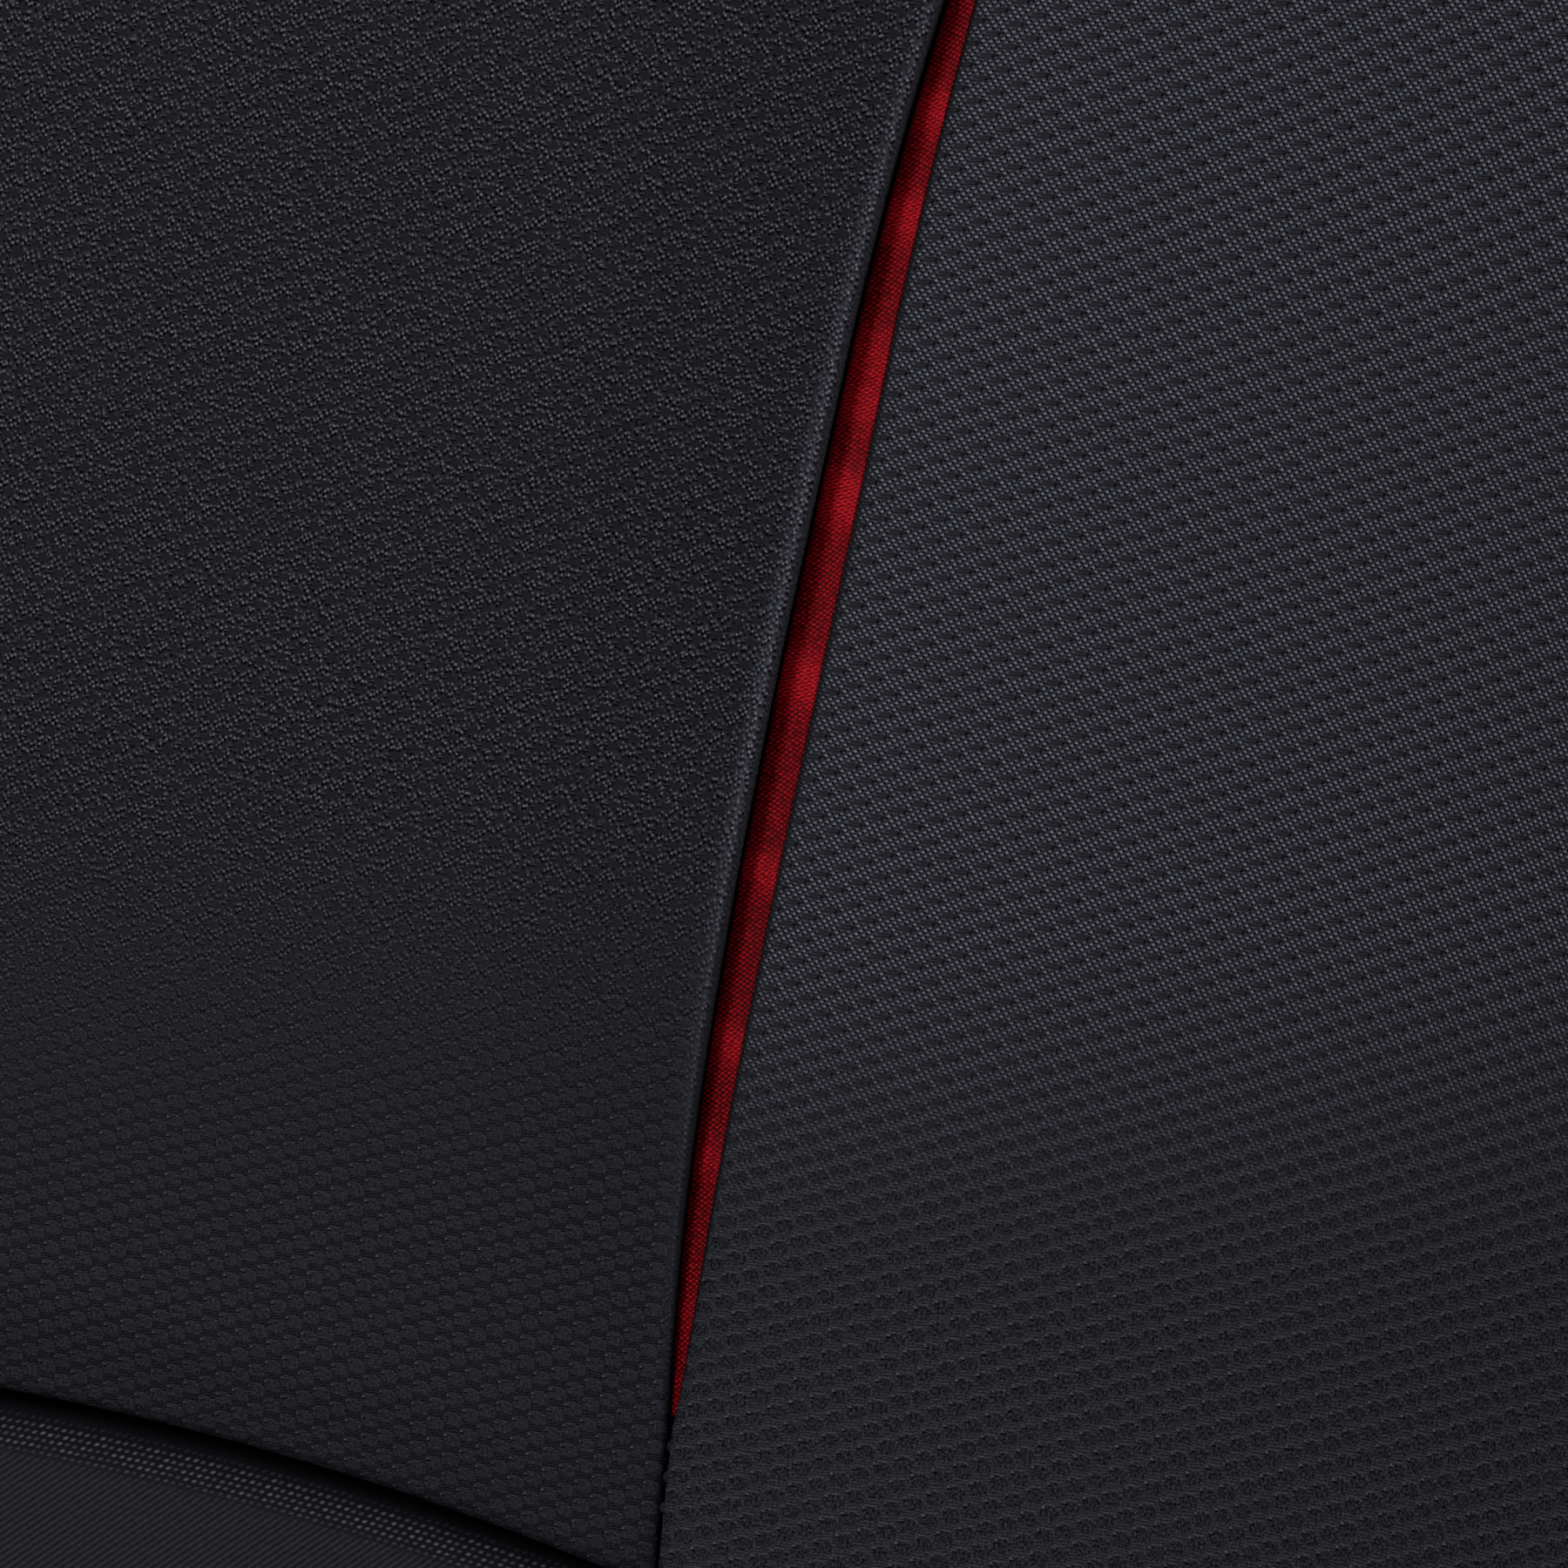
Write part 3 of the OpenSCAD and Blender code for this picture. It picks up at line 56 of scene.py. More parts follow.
EVEN = (1.0, 1.0, 1.0)  # metal without drawn streaks
FLIP = [-1, 1, 1]  # turns points over to the seat's other side
SIGNS = (-1, 1)
WALL_RINGS = (0.33, 0.67)  # rings of points in a pad's wall, as shares of its height
NO_HEM = 99.0  # distance from a hem that isn't there
GLUED, PATCHED = 0.5, 2.3  # lift of pads that are glued on or held by hook tape
SWELL_FRAMES = 20
CLOTH_SETTINGS = {
    "quality": 5,
    "mass": 0.3,
    "tension_stiffness": 12,
    "compression_stiffness": 12,
    "bending_stiffness": 0.8,
    "use_pressure": True,
    "uniform_pressure_force": 4.0,
    "vertex_group_mass": "held",
}


class Body(str, Enum):
    """Bodies of the frame that pieces ride on."""

    FLOOR = "floor_rails"
    SEAT = "seat"
    CAGES = "ball_cages"
    BAR = "release_bar"


class Side(Enum):
    """Left and right half of the seat, with the sign of X there."""

    LEFT = -1
    RIGHT = 1

    @property
    def word(self) -> str:
        """Name of the side as it stands in node names."""
        return self.name.lower()


# ---- shader maths ----


@dataclass(frozen=True)
class Signal:
    """A number in a shader; arithmetic on it adds Math nodes."""

    shader: "Shader"
    socket: bpy.types.NodeSocket

    def __add__(self, other: "Value") -> "Signal":
        """Sum."""
        return self.shader.math("ADD", self, other)

    __radd__ = __add__

    def __mul__(self, other: "Value") -> "Signal":
        """Product."""
        return self.shader.math("MULTIPLY", self, other)

    __rmul__ = __mul__

    def __sub__(self, other: "Value") -> "Signal":
        """Difference."""
        return self.shader.math("SUBTRACT", self, other)

    def __rsub__(self, other: "Value") -> "Signal":
        """Difference from a plain number."""
        return self.shader.math("SUBTRACT", other, self)


Value = Signal | float


class NodeBuilder:
    """Adds nodes to one tree and sets or links their inputs."""

    def __init__(self, tree: bpy.types.NodeTree) -> None:
        """Takes the tree that the nodes go into.

        Args:
            tree: The tree.
        """
        self.tree = tree

    def feed(self, target: bpy.types.NodeSocket, value: object) -> None:
        """Sets an input, or links it.

        Args:
            target: The input.
            value: A plain value, a signal or another node's output.
        """
        source = value.socket if isinstance(value, Signal) else value
        if isinstance(source, bpy.types.NodeSocket):
            self.tree.links.new(source, target)
        else:
            target.default_value = source

    def node(
        self,
        kind: str,
        settings: dict[str, object] | None = None,
        inputs: dict[str | int, object] | None = None,
    ) -> bpy.types.Node:
        """Adds a node.

        Args:
            kind: Blender's type name of the node.
            settings: Properties, set before the inputs.
            inputs: Values or links by socket name or place.

        Returns:
            The new node.
        """
        made = self.tree.nodes.new(kind)
        for key, value in (settings or {}).items():
            setattr(made, key, value)
        for key, value in (inputs or {}).items():
            self.feed(made.inputs[key], value)
        return made


class Shader(NodeBuilder):
    """Builds one material out of nodes."""

    def __init__(self, name: str) -> None:
        """Starts an empty material.

        Args:
            name: The material's name.
        """
        self.material = bpy.data.materials.new(name)
        self.material.use_nodes = True
        super().__init__(self.material.node_tree)
        self.tree.nodes.clear()
        self.surface = self.node("ShaderNodeBsdfPrincipled")
        output = self.node("ShaderNodeOutputMaterial")
        self.tree.links.new(self.surface.outputs["BSDF"], output.inputs["Surface"])

    def math(self, operation: str, *values: Value) -> Signal:
        """Adds a Math node.

        Args:
            operation: Name of the operation.
            values: Its operands.

        Returns:
            The result.
        """
        made = self.node("ShaderNodeMath", {"operation": operation}, dict(enumerate(values)))
        return Signal(self, made.outputs[0])

    def step(self, value: Value, low: float, high: float) -> Signal:
        """Smooth step from 0 at low to 1 at high.

        Args:
            value: What is tested.
            low: Where the step starts.
            high: Where it ends.

        Returns:
            The step.
        """
        made = self.node(
            "ShaderNodeMapRange",
            {"interpolation_type": "SMOOTHSTEP"},
            {"Value": value, "From Min": low, "From Max": high},
        )
        return Signal(self, made.outputs["Result"])

    def place(self, output: str) -> tuple[bpy.types.NodeSocket, list[Signal]]:
        """Coordinates in millimetres.

        Args:
            output: "UV" for the piece's own map or "Object".

        Returns:
            The vector and its three parts.
        """
        source = self.node("ShaderNodeTexCoord").outputs[output]
        scaled = self.node(
            "ShaderNodeVectorMath", {"operation": "SCALE"}, {0: source, "Scale": 1000.0}
        )
        parts = self.node("ShaderNodeSeparateXYZ", inputs={0: scaled.outputs[0]})
        return scaled.outputs[0], [Signal(self, s) for s in parts.outputs]

    def noise(
        self,
        vector: bpy.types.NodeSocket,
        size: float,
        detail: float = 3.0,
        stretch: Triple = (1.0, 1.0, 1.0),
    ) -> Signal:
        """Soft noise between 0 and 1.

        Args:
            vector: Coordinates in millimetres.
            size: Size of its spots in millimetres.
            detail: Octaves.
            stretch: Factor on each axis.

        Returns:
            The noise.
        """
        scale = tuple(factor / size for factor in stretch)
        mapped = self.node("ShaderNodeMapping", inputs={"Vector": vector, "Scale": scale})
        made = self.node(
            "ShaderNodeTexNoise",
            inputs={"Vector": mapped.outputs[0], "Scale": 1.0, "Detail": detail},
        )
        return Signal(self, made.outputs[0])

    def wave(self, x: Value, y: Value, pitch: float, angle: float) -> Signal:
        """Phase of a row pattern across the surface.

        Args:
            x: First coordinate in millimetres.
            y: Second coordinate in millimetres.
            pitch: Distance between rows.
            angle: Direction across the rows, in degrees.

        Returns:
            The phase in turns.
        """
        a = math.radians(angle)
        return x * (math.cos(a) / pitch) + y * (math.sin(a) / pitch)

    def cosine(self, turns: Signal) -> Signal:
        """Cosine of a phase in turns, from -1 to 1."""
        return self.math("COSINE", turns * (2 * math.pi))

    def spot(
        self, x: Signal, y: Signal, centre: Pair, size: Pair, edge: Pair = (0.3, 1.4)
    ) -> Signal:
        """Soft oval spot.

        Args:
            x: First coordinate.
            y: Second coordinate.
            centre: Middle of the spot.
            size: Its half width and half height.
            edge: Squared distances between which it fades out.

        Returns:
            1 in the spot, 0 outside.
        """
        across, along = (x - centre[0]) * (1 / size[0]), (y - centre[1]) * (1 / size[1])
        return 1.0 - self.step(across * across + along * along, *edge)

    def dots(self, x: Signal, y: Signal, jitter: float, edge: Pair) -> tuple[Signal, Signal]:
        """One soft dot in each unit cell.

        Args:
            x: First coordinate in cells.
            y: Second coordinate in cells.
            jitter: How far the dots stray, from 0 to 1.
            edge: Distances between which a dot fades out.

        Returns:
            The dots, and an even random number for each.
        """
        place = self.node("ShaderNodeCombineXYZ", inputs={0: x, 1: y})
        made = self.node(
            "ShaderNodeTexVoronoi",
            {"voronoi_dimensions": "2D"},
            {"Vector": place.outputs[0], "Scale": 1.0, "Randomness": jitter},
        )
        chance = self.node("ShaderNodeSeparateColor", inputs={0: made.outputs["Color"]})
        return (
            1.0 - self.step(Signal(self, made.outputs["Distance"]), *edge),
            Signal(self, chance.outputs[0]),
        )

    def mark(self, name: str) -> Signal:
        """Number stored at each point of the piece under a name."""
        made = self.node("ShaderNodeAttribute", {"attribute_name": name})
        return Signal(self, made.outputs["Fac"])

    def grey(self, tone: Signal, tint: Colour) -> bpy.types.NodeSocket:
        """Colour of a tone.

        Args:
            tone: Brightness as the eye sees it, 0 to 255.
            tint: Colour of full brightness.

        Returns:
            The colour.
        """
        light = self.math("POWER", self.math("MAXIMUM", tone * (0.948 / 255) + 0.052, 0.05), 2.4)
        return self.blend(light, (0.0, 0.0, 0.0), tint)

    def blend(self, factor: Value, low: Colour, high: Colour) -> bpy.types.NodeSocket:
        """Colour between two others.

        Args:
            factor: 0 for low, 1 for high.
            low: First colour.
            high: Second colour.

        Returns:
            The mixed colour.
        """
        made = self.node(
            "ShaderNodeMix",
            {"data_type": "RGBA"},
            {"Factor": factor, 6: (*low, 1.0), 7: (*high, 1.0)},
        )
        return made.outputs[2]

    def bump(self, height: Signal, strength: float = 1.0) -> bpy.types.NodeSocket:
        """Normal bent by a height.

        Args:
            height: Height in millimetres.
            strength: Share of the effect.

        Returns:
            The normal.
        """
        made = self.node(
            "ShaderNodeBump", inputs={"Strength": strength, "Distance": MM, "Height": height}
        )
        return made.outputs[0]

    def done(self, **sockets: object) -> bpy.types.Material:
        """Sets the surface.

        Args:
            sockets: Values or links, an underscore standing for a space.

        Returns:
            The material.
        """
        for key, value in sockets.items():
            self.feed(self.surface.inputs[key.replace("_", " ")], value)
        return self.material


# ---- finishes ----


@dataclass(frozen=True)
class JacquardCloth:
    """Black cloth: twill ground with pinholes, and float patches on a slanted lattice.

    Tones are written as the eye sees them, from 0 to 255.
    """

    name: str = "Jacquard cloth"
    rows: tuple[Pair, Pair] = ((1.86, 168.4), (1.81, 45.1))
    drawn_rows: tuple[Pair, Pair] = ((1.86, 168.4), (1.81, 45.1))
    drawn_from: Pair = (93.5, 747.0)
    yarns: tuple[Pair, Pair] = ((4.0, 3.0), (-1.0, 3.0))
    tilt: float = -8.0
    patch: Pair = (0.88, 0.42)
    base: float = 38.0
    nub: float = 64.0
    hole: float = 60.0
    floats: float = 34.5
    lines: float = 24.0
    shade: tuple[Pair, Pair, float] = ((0.66, -0.05), (0.27, 0.16), 24.0)
    glint: float = 4.0
    # Width, tone and nub share of the plain hem band by the seam; its darker tone is partly painted
    # shade on the folded edge.
    hem: Triple = (1.0, 34.0, 0.4)
    # Painted shade on the cloth's rolled edge by the seam: a negative share darkens it.
    fold: float = -0.3
    oval: Pair = (1.12, 0.66)
    inside: float = 31.5
    net: float = 39.0
    grain: float = 100.0
    # Strength of the painted highlight along the top rim of each oval.
    rim: float = 14.0
    tint: Colour = (0.84, 0.865, 1.08)

    def _ground(self, s: Shader, a: Signal, b: Signal, chance: Signal) -> Signal:
        """Tone of the ground: nubs in twill lines with pinholes between them.

        Args:
            s: The shader.
            a: Phase of the first yarn rows.
            b: Phase of the second.
            chance: Noise from 0 to 1.

        Returns:
            The tone, 0 to 255.
        """
        a = a + (chance - 0.5) * 0.4
        nubs = s.step(s.cosine(a) + s.cosine(b) * 0.5 + s.cosine(a + b) * 0.4, -0.7, 1.6)
        holes = s.step(s.cosine(a + 0.08) + s.cosine(b + 0.5), 0.55, 1.9)
        deep = holes * self.hole * (chance * 0.8 + 0.6)
        return nubs * self.nub * (chance + 0.5) - deep + self.base

    def _scale(self, s: Shader, x: Signal, y: Signal, chance: Signal, grain: Signal) -> Signal:
        """Tone of the drawn cloth: mottled ovals in a net, a painted highlight along each oval's
        top rim, and at each end a painted glint with a small dash of painted shade beside it.

        Args:
            s: The shader.
            x: Place across the cell in millimetres.
            y: Place along it.
            chance: Noise from 0 to 1.
            grain: Finer noise.

        Returns:
            The tone, 0 to 255.
        """
        oval = s.spot(x, y, (0.0, 0.0), self.oval, (0.85, 1.1))
        # Painted highlight: a thin bright line along the top of each oval only, as if lit from
        # above.
        rim = (s.spot(x, y, (0.0, 0.04), self.oval, (1.1, 1.6)) - oval) * s.step(y, -0.25, 0.2)
        # Painted highlight at each oval's end, with a small dark dash of painted shade just below
        # it.
        glint = s.spot(x, y, (-0.72, 0.4), (0.22, 0.08))
        shade_dash = s.spot(x, y, (-0.6, 0.24), (0.26, 0.08))
        inside = s.cosine(x * (1 / 0.27)) * 3.0 + (grain - 0.5) * self.grain + self.inside
        net = s.cosine(y * (1 / 0.26)) * 11.0 + (grain - 0.5) * self.grain * 0.6 + self.net
        woven = inside * oval + net * (1.0 - oval)
        return woven + rim * self.rim * (chance + 0.5) + glint * chance * 64.0 - shade_dash * 22.0

    def material(self) -> bpy.types.Material:
        """Builds the material.

        Returns:
            The new material.
        """
        s = Shader(self.name)
        vector, (x, y, _) = s.place("UV")
        x = x + (s.noise(vector, 2.6, 1.0) - 0.5) * 0.3
        y = y + (s.noise(vector, 3.1, 1.0) - 0.5) * 0.3
        drawn = s.mark("drawn")
        there = (x - self.drawn_from[0], y - self.drawn_from[1])
        p, q = (
            s.wave(x, y, *row) + (s.wave(*there, *low) - s.wave(*there, *row)) * drawn
            for row, low in zip(self.rows, self.drawn_rows)
        )
        (m, n), (k, l) = self.yarns
        a, b = p * m + q * n, p * k + q * l
        waves = [[f(math.radians(t)) / w for f in (math.cos, math.sin)] for w, t in self.rows]
        turn = math.radians(self.tilt)
        swing = np.array([[math.cos(turn), math.sin(turn)], [-math.sin(turn), math.cos(turn)]])
        cell = swing @ np.linalg.inv(np.array(waves))
        near_p, near_q = s.math("WRAP", p, 0.5, -0.5), s.math("WRAP", q, 0.5, -0.5)
        across = near_p * float(cell[0, 0]) + near_q * float(cell[0, 1])
        along = near_p * float(cell[1, 0]) + near_q * float(cell[1, 1])
        chance, grain = s.noise(vector, 0.45, 1.0), s.noise(vector, 0.2, 1.0)
        ground = self._ground(s, a, b, chance)
        patch = s.spot(across, along, (0.0, 0.0), self.patch, (0.4, 1.4))
        loose = s.cosine(along * (1 / 0.27)) * (chance * self.lines) * 0.8 + self.floats
        shade = s.spot(across, along, *self.shade[:2]) * (chance * 1.2 + 0.4)
        glint = s.spot(across, along, (-0.55, 0.08), (0.28, 0.1)) * chance
        woven = ground * (1.0 - patch) + loose * patch
        woven = woven - shade * self.shade[2] + glint * (2 * self.glint)
        width, band, nubs = self.hem
        far = s.mark("hem")
        plain = 1.0 - s.step(far, width * 0.8, width * 1.2)
        # Hem band: plain cloth without patches along the seam, its band tone partly painted light
        # on the centre panel and painted shade on the bolster.
        hem = (ground - self.base) * (1.0 - drawn * 0.7) * nubs + drawn * -8.0 + band
        # Painted light and shade where the edge rolls into the seam: within about 0.5 to 0.95 mm of
        # the hem the tone is scaled by the fold share, lighter on the centre panel and darker on
        # the bolster.
        fold = 1.0 - s.step(far, 0.5, 0.95)
        mottle = s.noise(vector, 0.26, 1.0)
        tone = woven * (1.0 - drawn) + self._scale(s, across, along, chance, mottle) * drawn
        tone = tone * (1.0 - plain) + hem * plain
        tone = tone * (1.0 + fold * self.fold) + (grain - 0.5) * 16.0
        return s.done(
            Base_Color=s.grey(tone, self.tint),
            Roughness=0.6,
            Specular_IOR_Level=0.01,
            Normal=s.bump(tone * 0.0012 - patch * 0.03, 0.8),
        )


@dataclass(frozen=True)
class SpeckledCloth(JacquardCloth):
    """The same cloth seen against its grain: straying bright points, dark smooth floats."""

    name: str = "Speckled jacquard cloth"
    rows: tuple[Pair, Pair] = ((1.676, 165.8), (1.827, 42.4))
    drawn_rows: tuple[Pair, Pair] = ((1.643, 174.9), (1.535, 45.0))
    tilt: float = -6.0
    patch: Pair = (0.84, 0.4)
    base: float = 33.0
    nub: float = 48.0
    hole: float = 34.0
    floats: float = 29.0
    lines: float = 5.0
    shade: tuple[Pair, Pair, float] = ((-0.55, -0.07), (0.34, 0.09), 22.0)
    glint: float = 22.0
    # Width, tone and nub share of the plain hem band by the seam; its lighter tone is partly
    # painted light on the folded edge.
    hem: Triple = (1.5, 42.0, 0.8)
    # Painted light on the cloth's rolled edge by the seam: a positive share brightens it.
    fold: float = 0.35
    oval: Pair = (1.02, 0.64)
    inside: float = 36.5
    net: float = 26.5
    grain: float = 60.0
    # Strength of the painted highlight along the top rim of each oval.
    rim: float = 20.0

    def _ground(self, s: Shader, a: Signal, b: Signal, chance: Signal) -> Signal:
        """Tone of the ground: bright points and dark holes that stray from their rows.

        Args:
            s: The shader.
            a: Phase of the first yarn rows.
            b: Phase of the second.
            chance: Noise from 0 to 1; not used here.

        Returns:
            The tone, 0 to 255.
        """
        points, bright = s.dots(a, b, 0.75, (0.08, 0.45))
        holes, deep = s.dots(a + 0.4, b + 0.5, 0.75, (0.0, 0.5))
        nubs = points * self.nub * (bright * 1.1 + 0.45)
        return nubs - holes * self.hole * (deep + 0.5) + self.base


@dataclass(frozen=True)
class TwillCloth:
    """Finer black cloth: rows of nubs along its top edge, painted bright as if its rounded edge
    caught the light, diagonal lines below.
    """

    pitch: float = 0.77
    stripe: Pair = (0.56, 127.0)
    edge: float = 3.2
    tint: Colour = (0.84, 0.865, 1.08)

    def material(self) -> bpy.types.Material:
        """Builds the material.

        Returns:
            The new material.
        """
        s = Shader("Twill cloth")
        vector, (x, y, _) = s.place("UV")
        far = s.mark("hem")
        chance = s.noise(vector, 0.5, 1.0)
        row = x * (1 / self.pitch), far * (1 / (self.pitch * 0.8))
        points, bright = s.dots(row[0] + row[1] * 0.5, row[1], 0.12, (0.12, 0.42))
        # Painted highlight: the nubs near the top edge are brightened as on a lit, rounded ridge.
        ridge_light = s.step(far, 0.2, 1.4) * (1.0 - s.step(far, 2.4, 4.6) * 0.5)
        dotted = points * ridge_light * 58.0 * (bright * 0.6 + 0.6) + 22.0
        striped = s.cosine(s.wave(x, y, *self.stripe)) * 10.0 + chance * 16.0 + 26.0
        low = s.step(far, self.edge, self.edge + 1.8)
        tone = dotted * (1.0 - low) + striped * low + (s.noise(vector, 0.2, 1.0) - 0.5) * 12.0
        return s.done(
            Base_Color=s.grey(tone, self.tint),
            Roughness=0.6,
            Specular_IOR_Level=0.015,
            Normal=s.bump(tone * 0.0014, 0.8),
        )


@dataclass(frozen=True)
class RedTaffeta:
    """Red plain-weave ribbon with a silky face, painted brighter along its folds and where it opens
    wide.
    """

    pitch: float = 0.44
    hollow: Colour = (0.02, 0.0001, 0.0003)
    crown: Colour = (0.56, 0.009, 0.02)

    def material(self) -> bpy.types.Material:
        """Builds the material.

        Returns:
            The new material.
        """
        s = Shader("Red taffeta")
        vector, (x, y, _) = s.place("UV")
        x = x + (s.noise(vector, 2.0, 1.0) - 0.5) * 0.3
        a, b = (s.wave(x, y, self.pitch, angle) for angle in (62.0, 128.0))
        points, bright = s.dots(a, b, 0.2, (0.12, 0.52))
        weft = s.cosine(s.wave(x, y, 0.36, 100.0)) * 0.5 + 0.5
        # Painted highlight: the ribbon's tone rises along its folds and where it opens wide; the
        # same mark also bends the normal at the real folds.
        pucker_and_light = s.step(s.mark("pucker_and_light") + s.noise(vector, 2.2, 2.0) * 0.6, 0.3, 1.35)
        yarn = points * (bright * 0.9 + 0.45) * (1.0 - pucker_and_light * 0.35) + weft * pucker_and_light * 0.5
        tone = yarn * (pucker_and_light * 0.4 + 0.46) + pucker_and_light * 0.05 + 0.015
        return s.done(
            Base_Color=s.blend(tone, self.hollow, self.crown),
            Roughness=0.55,
            Specular_IOR_Level=0.04,
            Normal=s.bump(yarn * 0.05 + pucker_and_light * 0.1),
        )


@dataclass(frozen=True)
class Thread:
    """Matt black sewing thread."""

    dark: Colour = (0.004, 0.004, 0.005)
    light: Colour = (0.02, 0.02, 0.024)

    def material(self) -> bpy.types.Material:
        """Builds the material.

        Returns:
            The new material.
        """
        s = Shader("Sewing thread")
        vector, (x, y, z) = s.place("Object")
        twist = s.cosine((x + y + z) * (1 / 0.35)) * 0.4 + s.noise(vector, 0.3, 1.0)
        return s.done(
            Base_Color=s.blend(twist, self.dark, self.light),
            Roughness=0.7,
            Specular_IOR_Level=0.05,
            Normal=s.bump(twist * 0.03),
        )


@dataclass(frozen=True)
class LiningCloth:
    """Short-pile lining of the shell's inner face."""

    dark: Colour = (0.005, 0.005, 0.0056)
    light: Colour = (0.022, 0.022, 0.0245)

    def material(self) -> bpy.types.Material:
        """Builds the material.

        Returns:
            The new material.
        """
        s = Shader("Felt lining")
        vector, _ = s.place("Object")
        pile = s.noise(vector, 0.9, 3.0)
        cloud = s.noise(vector, 40.0, 2.0)
        return s.done(
            Base_Color=s.blend(pile * 0.7 + cloud * 0.3, self.dark, self.light),
            Roughness=0.9,
            Specular_IOR_Level=0.1,
            Sheen_Weight=0.06,
            Normal=s.bump(pile * 0.35),
        )


@dataclass(frozen=True)
class Composite:
    """Woven fibre composite under a clear gel coat."""

    tow: float = 2.0
    dark: Colour = (0.006, 0.006, 0.007)
    light: Colour = (0.045, 0.046, 0.05)

    def material(self) -> bpy.types.Material:
        """Builds the material.

        Returns:
            The new material.
        """
        s = Shader("Woven composite")
        vector, (x, y, _) = s.place("UV")
        column = s.math("FLOOR", x * (1 / self.tow))
        row = s.math("FLOOR", y * (1 / self.tow))
        over = s.math("LESS_THAN", s.math("FLOORED_MODULO", column + row, 4.0), 1.5)
        fibre = [s.cosine(s.wave(x, y, 0.22, angle)) for angle in (0.0, 90.0)]
        along = fibre[0] * over + fibre[1] * (1.0 - over)
        round_x = s.math("ABSOLUTE", s.math("FRACT", x * (1 / self.tow)) - 0.5)
        round_y = s.math("ABSOLUTE", s.math("FRACT", y * (1 / self.tow)) - 0.5)
        tow = 1.0 - (round_x * over + round_y * (1.0 - over)) * 1.2
        cloud = s.noise(vector, 60.0, 2.0)
        tone = (over * 0.55 + 0.2) * tow + along * 0.06 + cloud * 0.12
        wave = s.noise(vector, 18.0, 2.0)
        return s.done(
            Base_Color=s.blend(tone, self.dark, self.light),
            Roughness=wave * 0.12 + 0.24,
            Coat_Weight=0.8,
            Coat_Roughness=0.06,
            Normal=s.bump(wave * 0.12 + tow * 0.015),
        )


@dataclass(frozen=True)
class Coated:
    """Plastic, rubber or powder coat: an even colour with a fine grain and light wear."""

    name: str
    dark: Colour
    light: Colour
    roughness: float
    grain: float
    depth: float

    def material(self) -> bpy.types.Material:
        """Builds the material.

        Returns:
            The new material.
        """
        s = Shader(self.name)
        vector, _ = s.place("Object")
        grain = s.noise(vector, self.grain, 4.0)
        wear = s.step(s.noise(vector, 22.0, 4.0), 0.45, 0.75)
        return s.done(
            Base_Color=s.blend(grain * 0.5 + wear * 0.35, self.dark, self.light),
            Roughness=wear * 0.12 + (self.roughness - 0.04),
            Normal=s.bump(grain * self.depth),
        )


@dataclass(frozen=True)
class Metal:
    """Plated, plain or blackened metal with drawn streaks and stains."""

    name: str
    dark: Colour
    light: Colour
    roughness: float
    streak: Triple = (1.0, 0.04, 1.0)

    def material(self) -> bpy.types.Material:
        """Builds the material.

        Returns:
            The new material.
        """
        s = Shader(self.name)
        vector, _ = s.place("Object")
        streak = s.noise(vector, 0.5, 3.0, self.streak)
        stain = s.noise(vector, 16.0, 4.0)
        return s.done(
            Base_Color=s.blend(streak * 0.35 + stain * 0.6, self.dark, self.light),
            Metallic=1.0,
            Roughness=streak * 0.12 + stain * 0.16 + (self.roughness - 0.14),
            Normal=s.bump(streak * 0.012),
        )


